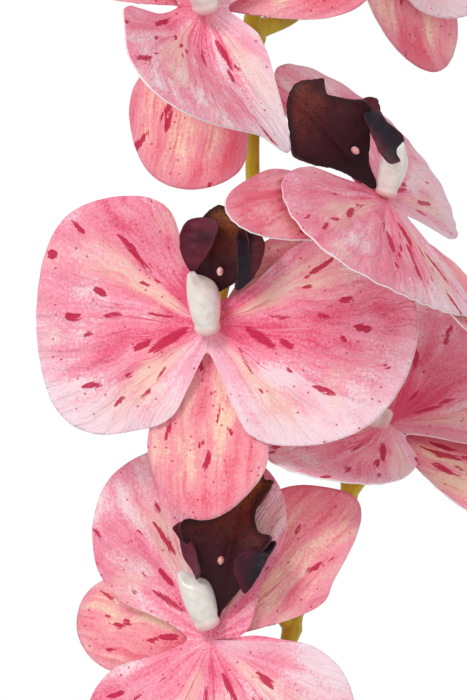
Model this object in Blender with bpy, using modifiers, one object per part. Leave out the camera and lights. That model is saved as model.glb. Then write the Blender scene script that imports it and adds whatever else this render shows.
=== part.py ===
"""Potted moth orchid: cover pot, bark, crown, leaves and an arching spike of blooms.

Metres, +Z up. The origin is the centre of the pot's flat underside.
Tables are in millimetres and turned into metres once, in `add_mesh`.
"""
import math

import bmesh
import bpy
import numpy as np

for old in list(bpy.data.objects):
    bpy.data.objects.remove(old, do_unlink=True)

NAME = "potted_orchid"
MM = 0.001

# ---------------------------------------------------------------- pot, mm
POT_R_BASE, POT_R_TOP, POT_H = 50.0, 65.0, 120.0
POT_WALL, POT_FLOOR = 5.0, 7.0
BARK_TOP = 109.0
GAP = 0.4

# ---------------------------------------------------------------- bloom outlines, mm
# One petal to the right of the bloom's middle, x along the petal.
PETAL = [(3.2, -10.5), (7, -17.5), (12, -25), (21, -30), (33, -29.5), (44, -22), (50.5, -10), (52.5, 4),
         (50, 18), (42.5, 29), (31, 33.5), (19, 32.5), (10.5, 26.5), (7, 18.5), (3.8, 11)]
# One sepal, x from the middle to its tip.
SEPAL = [(4.5, -3.5), (10, -6.5), (18, -11.5), (27, -15.5), (36, -16.5), (44, -13.5), (50, -7.5), (52, 0),
         (50, 7.5), (44, 13.5), (36, 16.5), (27, 15.5), (18, 11.5), (10, 6.5), (4.5, 3.5)]
# The lip seen from the front, y from its base to its apex, and how far each point stands forward.
LIP = [(2.2, 5), (4.5, 8), (8.5, 11), (11.5, 15), (11, 20), (7.5, 23.5), (5.5, 26), (5, 29), (2.5, 32),
       (-1.5, 32), (-4, 29), (-4.5, 26), (-7, 24), (-10, 20), (-10, 15), (-7, 11), (-3.5, 8), (-2, 5)]
WAIST = 6.5
SHEET = 0.8
SEPALS_BACK = 3.5

# ---------------------------------------------------------------- the eight blooms, mm and degrees
# hub: middle of the petals. yaw, pitch: where the bloom faces (0,0 is -Y). roll: which way its lip points.
BLOOMS = {
    "g": dict(hub=(160.0, -18.0, 594.0), yaw=-8, pitch=22, roll=96, node=(166.0, 22.6, 600.0)),
    "e": dict(hub=(229.0, 30.0, 554.0), yaw=38, pitch=0, roll=116, petal_roll=-27, node=(195.3, 25.0, 519.5),
              stalk=[(221.5, 39.0, 548.0), (212.0, 32.0, 529.0)]),
    "a": dict(hub=(182.5, -28.0, 517.5), yaw=0, pitch=0, roll=100, petal_roll=77, sepal_roll=-15,
              bends=((70, 137, 14), (-12, 0, 52)), sepal_turns=(-6, 0, -2), sepal_sizes=(0.92, 1, 1),
              sepal_bends=(-15, -20, -20), node=(195.2, 25.0, 513.0)),
    "c": dict(hub=(229.4, -14.0, 468.7), yaw=60, pitch=42, roll=136, petal_roll=20,
              bends=((-6, 0, 52), (-6, 180, 52)), sepal_turns=(0, 0, 16), sepal_sizes=(0.9, 0.85, 1.12),
              node=(197.0, 29.0, 455.0), stalk_step=4.9,
              stalk=[(220.5, -3.0, 466.8), (214.0, 8.0, 466.5), (205.0, 20.0, 461.0)]),
    "m": dict(hub=(183.6, 0.0, 436.3), yaw=-10, pitch=0, roll=86, left=(0.87, 0.98), right=(1.05, 0.96),
              right_turn=-3, left_turn=4, droop=1.5, bends=((8, 0, 52), (8, 180, 52)), sepal_turns=(2, 0, 0),
              sepal_sizes=(1, 0.88, 0.88), sepal_bends=(6, -10, -10), node=(195.4, 26.5, 470.0), stalk=[(186.0, 12.0, 440.0), (190.0, 19.0, 456.0)]),
    "d": dict(hub=(231.9, 36.0, 409.9), yaw=12, pitch=52, roll=150, petal_roll=-14, left=(0.72, 0.72),
              bends=((10, 0, 52), (25, 180, 52)), sepal_turns=(8, 0, 0), sepal_sizes=(1, 0.9, 0.62),
              lip_lift=0.6, node=(222.2, 50.0, 390.0)),
    "b": dict(hub=(184.0, 20.0, 352.6), yaw=-12, pitch=4, roll=75, petal_roll=104, sepal_roll=28, left=(1.02, 1.02),
              left_turn=10, left_spread=1.2, sepal_turns=(0, 5, 8), sepal_sizes=(0.85, 1.0, 0.8),
              sepal_bends=(-15, -15, -30), node=(205.8, 39.5, 353.5)),
    "f": dict(hub=(206.0, -4.0, 272.0), yaw=16, pitch=-10, roll=84, sepal_sizes=(0.92, 0.92, 0.92),
              left=(0.92, 0.92), right=(0.92, 0.92), node=(206.8, 30.0, 284.0)),
}

# ---------------------------------------------------------------- flower spike, mm: x, y, z, radius
SPIKE = [(2, -17, 112, 3.4), (3, -17, 150, 3.1), (6, -15, 220, 2.9), (12, -10, 300, 2.8), (22, -4, 380, 2.7),
         (40, 4, 460, 2.6), (66, 10, 530, 2.5), (98, 16, 580, 2.4), (130, 20, 605, 2.3), (160, 22, 604, 2.2),
         (182, 24, 584, 2.1), (193, 25, 556, 2.1), (195.2, 25, 515.8, 2.0), (195.2, 26, 475.5, 1.9),
         (198.0, 34, 447, 1.9), (209.0, 48, 418, 1.8), (222.2, 50, 393, 1.8), (220.0, 48, 371, 1.8),
         (211.5, 42, 357, 1.8), (205.8, 39.5, 353.5, 2.0), (202.4, 38, 340, 1.7), (204.0, 36, 312, 1.6),
         (206.0, 32, 284, 1.5), (207.5, 27, 262, 1.3), (208.5, 22, 240, 1.1), (208.0, 18, 222, 0.9)]

# Buds at the hanging end: foot beside the spike, direction, length and radius.
BUDS = [((205.2, 26.0, 262.0), (-0.85, -0.35, -0.40), 24, 6.0), ((210.6, 20.8, 246.0), (0.80, -0.40, -0.45), 21, 5.2),
        ((206.2, 18.6, 232.0), (-0.75, -0.20, -0.62), 18, 4.4), ((208.4, 16.2, 219.6), (0.25, -0.30, -0.92), 15, 3.6)]

# Leaves: azimuth, length, width, first slope, last slope, height of the foot.
LEAVES = [(6, 178, 68, 30, -52, 120), (187, 196, 70, 34, -46, 122), (-13, 150, 60, 52, -24, 130),
          (170, 158, 62, 56, -26, 132), (14, 92, 40, 74, 34, 141)]

# Air roots: azimuth, then radius and height along the way.
ROOT_RISE = [(17, 116), (34, 115.5), (50, 121), (60, 125.0), (69, 125.0), (77, 118), (81, 103), (83, 88)]
ROOTS = [(62, 1.0, 2.4), (128, 0.93, 2.2), (236, 0.97, 2.3)]


# ---------------------------------------------------------------- helpers
def material(name, colour, rough, **extra):
    """Own Principled material for each node."""
    mat = bpy.data.materials.new(name)
    mat.use_nodes = True
    shader = mat.node_tree.nodes["Principled BSDF"]
    shader.inputs["Base Color"].default_value = (*colour, 1)
    shader.inputs["Roughness"].default_value = rough
    for key, value in extra.items():
        shader.inputs[key.replace("_", " ")].default_value = value
    return mat


COLLECTION = bpy.data.collections.new(NAME)
bpy.context.scene.collection.children.link(COLLECTION)


def add_mesh(name, points, faces, colour, rough=0.5, smooth=True):
    """One named piece from points in mm, with its faces turned outward."""
    mesh = bpy.data.meshes.new(name)
    mesh.from_pydata([tuple(float(c) * MM for c in p) for p in points], [], faces)
    work = bmesh.new()
    work.from_mesh(mesh)
    bmesh.ops.recalc_face_normals(work, faces=work.faces)
    work.to_mesh(mesh)
    work.free()
    mesh.polygons.foreach_set("use_smooth", [smooth] * len(mesh.polygons))
    mesh.materials.append(material(name, colour, rough))
    obj = bpy.data.objects.new(name, mesh)
    COLLECTION.objects.link(obj)
    return obj


def revolve(name, profile, steps, colour, rough):
    """A closed solid of revolution about Z from (radius, height) points in mm."""
    points = [(r * math.cos(0), 0.0, z) for r, z in profile]
    mesh = bpy.data.meshes.new(name)
    mesh.from_pydata([tuple(c * MM for c in p) for p in points],
                     [(k, k + 1) for k in range(len(points) - 1)], [])
    mesh.materials.append(material(name, colour, rough))
    obj = bpy.data.objects.new(name, mesh)
    COLLECTION.objects.link(obj)
    screw = obj.modifiers.new("turn", "SCREW")
    screw.steps = screw.render_steps = steps
    screw.use_merge_vertices = True
    screw.merge_threshold = 0.00001
    screw.use_normal_calculate = True
    return obj


def spline(points, count):
    """Catmull-Rom through open control rows, spaced evenly by length on their first three columns."""
    p = np.array(points, float)
    p = np.vstack([2 * p[0] - p[1], p, 2 * p[-1] - p[-2]])
    out = []
    for k in range(1, len(p) - 2):
        for t in np.linspace(0, 1, 24, endpoint=False):
            out.append(0.5 * ((2 * p[k]) + (p[k + 1] - p[k - 1]) * t
                              + (2 * p[k - 1] - 5 * p[k] + 4 * p[k + 1] - p[k + 2]) * t * t
                              + (3 * p[k] - p[k - 1] - 3 * p[k + 1] + p[k + 2]) * t ** 3))
    out = np.array(out + [p[-2]])
    along = np.r_[0, np.cumsum(np.linalg.norm(np.diff(out[:, :3], axis=0), axis=1))]
    want = np.linspace(0, along[-1], count)
    return np.column_stack([np.interp(want, along, out[:, c]) for c in range(out.shape[1])])


def closed_spline(points, count):
    """Closed Catmull-Rom outline, spaced evenly by length."""
    p = np.array(points, float)
    n, out = len(p), []
    for k in range(n):
        a, b, c, d = p[k - 1], p[k], p[(k + 1) % n], p[(k + 2) % n]
        for t in np.linspace(0, 1, 12, endpoint=False):
            out.append(0.5 * (2 * b + (c - a) * t + (2 * a - 5 * b + 4 * c - d) * t * t
                              + (3 * b - a - 3 * c + d) * t ** 3))
    out = np.array(out + [out[0]])
    along = np.r_[0, np.cumsum(np.linalg.norm(np.diff(out, axis=0), axis=1))]
    want = np.linspace(0, along[-1], count, endpoint=False)
    return np.column_stack([np.interp(want, along, out[:, c]) for c in (0, 1)])


def loft(rings):
    """Points and faces of a closed solid through rings of equal length, both ends capped."""
    n, points, faces = len(rings[0]), [tuple(p) for ring in rings for p in ring], []
    for k in range(len(rings) - 1):
        for j in range(n):
            a, b = k * n + j, k * n + (j + 1) % n
            faces.append((a, b, b + n, a + n))
    for ring, base in ((rings[0], 0), (rings[-1], (len(rings) - 1) * n)):
        points.append(tuple(np.mean(ring, axis=0)))
        mid = len(points) - 1
        faces += [(mid, base + j, base + (j + 1) % n) for j in range(n)]
    return points, faces


def tube(name, rows, colour, rough):
    """A round tube through rows of x, y, z and radius in mm, with filled ends."""
    curve = bpy.data.curves.new(name, "CURVE")
    curve.dimensions = "3D"
    curve.bevel_depth = MM
    curve.bevel_resolution = 2
    curve.use_fill_caps = True
    line = curve.splines.new("POLY")
    line.points.add(len(rows) - 1)
    for point, (x, y, z, radius) in zip(line.points, rows):
        point.co = (x * MM, y * MM, z * MM, 1)
        point.radius = radius
    curve.materials.append(material(name, colour, rough))
    obj = bpy.data.objects.new(name, curve)
    COLLECTION.objects.link(obj)
    return obj


SPIKE_LINE = spline(SPIKE, 400)


# ---------------------------------------------------------------- bloom sheets
def turn(xy, degrees):
    c, s = math.cos(math.radians(degrees)), math.sin(math.radians(degrees))
    return np.asarray(xy, float) @ np.array([[c, s], [-s, c]])


def spread(xy, k):
    r, a = np.hypot(xy[:, 0], xy[:, 1]), np.arctan2(xy[:, 1], xy[:, 0]) * k
    return np.column_stack([r * np.cos(a), r * np.sin(a)])


def petal_outline(f):
    """Both petals and the waist that joins them."""
    right = spread(np.array(PETAL) * f.get("right", (1, 1)), f.get("right_spread", 1))
    left = spread(np.array(PETAL[::-1]) * f.get("left", (1, 1)), f.get("left_spread", 1)) * (-1, 1)
    return np.vstack([[(0, -WAIST)], turn(right, f.get("right_turn", 0)), [(0, WAIST)],
                      turn(left, f.get("left_turn", 0))])


def sepal_outline(f):
    """Three sepals on one sheet."""
    turns, sizes = f.get("sepal_turns", (0, 0, 0)), f.get("sepal_sizes", (1, 1, 1))
    return np.vstack([turn(np.array(SEPAL) * sizes[k], angle + turns[k])
                      for k, angle in enumerate((-90, 30, 150))])


def arc(d, degrees, full):
    """Distance along and height of a strip bent over its first `full` mm, straight after."""
    if abs(degrees) < 0.5:
        return d, d * 0
    k, end, e = math.radians(degrees) / full, math.radians(degrees), np.minimum(d, full)
    rest = d - e
    return np.sin(k * e) / k + rest * math.cos(end), (1 - np.cos(k * e)) / k + rest * math.sin(end)


def petal_shape(xy, f):
    """Lift the flat petals: each bend rolls one side of the sheet forward."""
    out, z = xy.copy(), -f.get("droop", 3.0) * (xy[:, 1] / 32) ** 2
    for degrees, toward, full in f.get("bends", ((12, 0, 52), (12, 180, 52))):
        u = np.array([math.cos(math.radians(toward)), math.sin(math.radians(toward))])
        d = np.maximum(xy @ u, 0)
        along, up = arc(d, degrees, full)
        out, z = out + np.outer(along - d, u), z + up
    return np.column_stack([turn(out, f.get("petal_roll", 0)), z])


def sepal_shape(xy, f):
    """Lean each sepal back or forward from the middle."""
    r = np.hypot(xy[:, 0], xy[:, 1])
    which = ((np.degrees(np.arctan2(xy[:, 1], xy[:, 0])) + 150) % 360 // 120).astype(int)
    out = np.zeros((len(xy), 3))
    for k, bend in enumerate(f.get("sepal_bends", (-10, -10, -10))):
        along, up = arc(r, bend, 52)
        m, share = which == k, along / np.maximum(r, 1e-9)
        out[m] = np.column_stack([xy[m] * share[m, None], up[m] - SEPALS_BACK])
    return np.column_stack([turn(out[:, :2], f.get("sepal_roll", 0)), out[:, 2]])


def lip_shape(xy, f):
    """The lip curls forward at its sides and its apex leans back."""
    x, y = xy[:, 0], xy[:, 1]
    lift = f.get("lip_lift", 1.0)
    z = 1.7 + lift * (5.5 * np.sin(np.clip((y - 7) / 25, 0, 1) * math.pi * 0.75)) + 0.030 * x ** 2
    return np.column_stack([x, y, z])


def bloom_axes(f):
    """Across, lip side and facing directions of a bloom."""
    yaw, pitch, roll = (math.radians(f[k]) for k in ("yaw", "pitch", "roll"))
    facing = np.array([math.sin(yaw) * math.cos(pitch), -math.cos(yaw) * math.cos(pitch), math.sin(pitch)])
    up = np.array([math.cos(roll), 0, math.sin(roll)])
    up = up - facing * (up @ facing)
    up /= np.linalg.norm(up)
    return np.array([np.cross(up, facing), up, facing])


def sheet(name, outline, middle, rings, shape, f, thickness, colour, rough):
    """A thin closed sheet: nested outlines about `middle`, given a shape and a thickness."""
    axes, hub, n = bloom_axes(f), np.array(f["hub"]), len(outline)
    middle = np.array(middle, float)
    flat = np.vstack([[middle]] + [middle + (outline - middle) * k / rings for k in range(1, rings + 1)])
    faces = [(0, 1 + j, 1 + (j + 1) % n) for j in range(n)]
    for k in range(rings - 1):
        for j in range(n):
            a, b = 1 + k * n + j, 1 + k * n + (j + 1) % n
            faces.append((a, b, b + n, a + n))
    obj = add_mesh(name, shape(flat, f) @ axes + hub, faces, colour, rough)
    solid = obj.modifiers.new("thickness", "SOLIDIFY")
    solid.thickness = thickness * MM
    solid.offset = 0
    solid.use_even_offset = False
    return obj


# Column: how far along, radius across, radius deep; it leans towards the lip.
COLUMN = [(0.0, 2.6), (1.0, 3.7), (4.0, 4.0), (8.0, 4.4), (12.0, 4.5), (14.6, 3.6), (15.8, 1.6)]
COLUMN_FOOT, COLUMN_AIM = (0.4, -2.6, 4.6), (-0.07, 0.90, 0.42)


def column(name, f):
    """The short blunt column in the middle of a bloom."""
    axes, hub = bloom_axes(f), np.array(f["hub"])
    foot, aim = np.array(COLUMN_FOOT) @ axes + hub, np.array(COLUMN_AIM) @ axes
    aim = aim / np.linalg.norm(aim)
    rows = [(*(foot + aim * s), r) for s, r in COLUMN]
    return tube(name, rows, (0.86, 0.84, 0.80), 0.35)


def pedicel(name, f):
    """The flower stalk, from behind the sepals to just short of the spike."""
    axes, hub, node = bloom_axes(f), np.array(f["hub"]), np.array(f["node"])
    back = hub - axes[2] * (SEPALS_BACK + SHEET / 2 + 0.8)
    way = [back - axes[2] * f.get("stalk_step", 5.0)] + [np.array(p, float) for p in f.get("stalk", [])]
    near = SPIKE_LINE[np.argmin(np.linalg.norm(SPIKE_LINE[:, :3] - node, axis=1))]
    toward = way[-1] - near[:3]
    end = near[:3] + toward / np.linalg.norm(toward) * (near[3] + 1.5)
    rows = [(*back, 1.45), *((*p, 1.35) for p in way), (*end, 1.1)]
    return tube(name, spline(rows, 7), (0.42, 0.36, 0.05), 0.5)


def leaf(name, azimuth, length, width, first, last, foot, colour):
    """A strap leaf: a keeled section swept along an arching midrib."""
    stations, rings = 11, []
    a = math.radians(azimuth)
    out, side = np.array([math.cos(a), math.sin(a), 0]), np.array([-math.sin(a), math.cos(a), 0])
    at, step = out * 13.0 + np.array([0, 0, foot]), length / (stations - 1)
    for k in range(stations):
        t = k / (stations - 1)
        slope = math.radians(first + (last - first) * t)
        ahead = out * math.cos(slope) + np.array([0, 0, math.sin(slope)])
        up = np.cross(ahead, side)
        up = up if up[2] > 0 else -up
        half = width / 2 * (0.30 + 0.70 * math.sin(min(t / 0.55, 1) * math.pi / 2)) * max(1 - t ** 5, 0.0) ** 0.55
        half, thick = max(half, 2.0), 2.6 - 1.0 * t
        keel = 0.34 - 0.16 * t
        rings.append([at + side * u * half + up * (abs(u) * half * keel + v * thick)
                      for u, v in ((-1, 0), (-0.5, 0.5), (0, 0.5), (0.5, 0.5), (1, 0),
                                   (0.5, -0.5), (0, -0.5), (-0.5, -0.5))])
        at = at + ahead * step
    return add_mesh(name, *loft(rings), colour, 0.35)


# ---------------------------------------------------------------- build: pot and bark
def pot_inside(z):
    return POT_R_BASE + (POT_R_TOP - POT_R_BASE) * z / POT_H - POT_WALL


revolve("pot", [(0, 0), (POT_R_BASE - 2, 0), (POT_R_BASE, 2), (POT_R_TOP - 0.5, POT_H - 2), (POT_R_TOP - 2, POT_H),
                (POT_R_TOP - POT_WALL + 1, POT_H), (POT_R_TOP - POT_WALL - 0.2, POT_H - 2),
                (pot_inside(POT_FLOOR + 3), POT_FLOOR + 3), (pot_inside(POT_FLOOR) - 4, POT_FLOOR), (0, POT_FLOOR)],
        48, (0.88, 0.87, 0.85), 0.3)
revolve("bark", [(0, POT_FLOOR + GAP), (pot_inside(POT_FLOOR) - 6, POT_FLOOR + GAP),
                 (pot_inside(POT_FLOOR + 5) - GAP - 0.4, POT_FLOOR + 5), (pot_inside(BARK_TOP - 3) - GAP - 0.6, BARK_TOP - 3),
                 (pot_inside(BARK_TOP) - 4, BARK_TOP), (0, BARK_TOP + 1.0)], 32, (0.16, 0.09, 0.05), 0.9)

# ---------------------------------------------------------------- build: crown, leaves, roots, spike, buds
revolve("crown", [(0, 111.5), (6.0, 111.5), (9.5, 116), (10.5, 126), (9.0, 138), (6.0, 147), (2.0, 152), (0, 152.5)],
        12, (0.20, 0.30, 0.08), 0.5)
for k, row in enumerate(LEAVES):
    leaf(f"leaf_{k + 1}", *row, (0.05, 0.16, 0.03))
for k, (azimuth, scale, thick) in enumerate(ROOTS):
    c, s = math.cos(math.radians(azimuth)), math.sin(math.radians(azimuth))
    way = [(r * c, r * s, z, thick) for r, z in ROOT_RISE[:-1]]
    r, z = ROOT_RISE[-1]
    way += [(r * c, r * s, z * scale, thick * 0.5)]
    tube(f"root_{k + 1}", spline(way, 13), (0.42, 0.46, 0.36), 0.7)
tube("spike", spline(SPIKE, 54), (0.42, 0.36, 0.05), 0.5)
for k, (foot, aim, length, radius) in enumerate(BUDS):
    aim = np.array(aim) / np.linalg.norm(aim)
    rows = [(*(np.array(foot) + aim * length * t), radius * r)
            for t, r in ((0.0, 0.17), (0.25, 0.20), (0.36, 0.62), (0.52, 0.97), (0.72, 1.0), (0.90, 0.66), (1.0, 0.18))]
    tube(f"bud_{k + 1}", rows, (0.55, 0.42, 0.20), 0.5)

# ---------------------------------------------------------------- build: blooms
for key, bloom in BLOOMS.items():
    sheet(f"petals_{key}", closed_spline(petal_outline(bloom), 28), (0, 0), 3, petal_shape, bloom, SHEET,
          (0.85, 0.36, 0.46), 0.5)
    sheet(f"sepals_{key}", closed_spline(sepal_outline(bloom), 30), (0, 0), 3, sepal_shape, bloom, SHEET,
          (0.84, 0.30, 0.30), 0.5)
    sheet(f"lip_{key}", closed_spline(LIP, 20), (0, 18), 2, lip_shape, bloom, 1.0, (0.10, 0.015, 0.03), 0.55)
    column(f"column_{key}", bloom)
    pedicel(f"pedicel_{key}", bloom)
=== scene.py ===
"""Looks of the potted moth orchid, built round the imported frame. Tables are in millimetres."""

import math
import random

import bmesh
import bpy
import numpy as np
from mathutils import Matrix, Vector


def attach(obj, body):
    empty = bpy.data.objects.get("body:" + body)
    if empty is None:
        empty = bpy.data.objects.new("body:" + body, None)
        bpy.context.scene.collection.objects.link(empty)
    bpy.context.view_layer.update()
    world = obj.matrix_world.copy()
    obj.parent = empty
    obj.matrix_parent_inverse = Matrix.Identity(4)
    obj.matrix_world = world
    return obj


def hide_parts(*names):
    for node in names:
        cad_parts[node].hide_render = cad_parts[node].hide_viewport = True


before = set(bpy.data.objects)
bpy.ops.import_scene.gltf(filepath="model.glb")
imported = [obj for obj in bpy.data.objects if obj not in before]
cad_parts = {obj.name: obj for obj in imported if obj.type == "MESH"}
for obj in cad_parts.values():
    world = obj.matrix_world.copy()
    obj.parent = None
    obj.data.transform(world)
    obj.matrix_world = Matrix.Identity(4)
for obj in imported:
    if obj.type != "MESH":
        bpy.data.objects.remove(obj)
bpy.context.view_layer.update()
MM = 0.001
EYE = (190.0, -1000.0, 430.0)  # where the viewer stands

# ------------------------------------------------------------------ outlines of a bloom
PETAL = [(3.2, -10.5), (7, -17.5), (12, -25), (21, -30), (33, -29.5), (44, -22), (50.5, -10), (52.5, 4), (50, 18),
         (42.5, 29), (31, 33.5), (19, 32.5), (10.5, 26.5), (7, 18.5), (3.8, 11)]
SEPAL = [(4.5, -3.5), (10, -6.5), (18, -11.5), (27, -15.5), (36, -16.5), (44, -13.5), (50, -7.5), (52, 0), (50, 7.5),
         (44, 13.5), (36, 16.5), (27, 15.5), (18, 11.5), (10, 6.5), (4.5, 3.5)]
LIP_BLADE = [(1.0, 4), (1.3, 8), (3.2, 11.5), (5.2, 15), (6.6, 19), (8.2, 24), (10.8, 29.6), (10.5, 31.4),
             (7.0, 31.5), (5.0, 34), (4.2, 38), (4.8, 42), (6.6, 45), (4.0, 45.4), (2.6, 47.0), (0.6, 44.8),
             (-1.8, 46.4), (-4.2, 44), (-4.4, 40), (-4.8, 36), (-6, 32.5), (-9, 30.5), (-12.5, 29.5), (-13.2, 27),
             (-10.5, 22.5), (-7.6, 18), (-5.6, 14.5), (-3.2, 11), (-1.3, 8), (-1.0, 4)]
WING = [(6, 12), (4.6, 17), (4.8, 22), (7, 26), (12, 28), (13, 23), (11.5, 18), (9, 14)]
WAIST = 6.5          # half the width of the neck between two petals
SEPALS_BACK = 3.5    # how far the sepals lie behind the petals
SHEET, WING_SHEET, LIP_SHEET = 0.45, 0.55, 0.6
SEPAL_WAYS = (-90, 30, 150)
PETAL_BEND_LENGTH = SEPAL_BEND_LENGTH = 52

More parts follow.
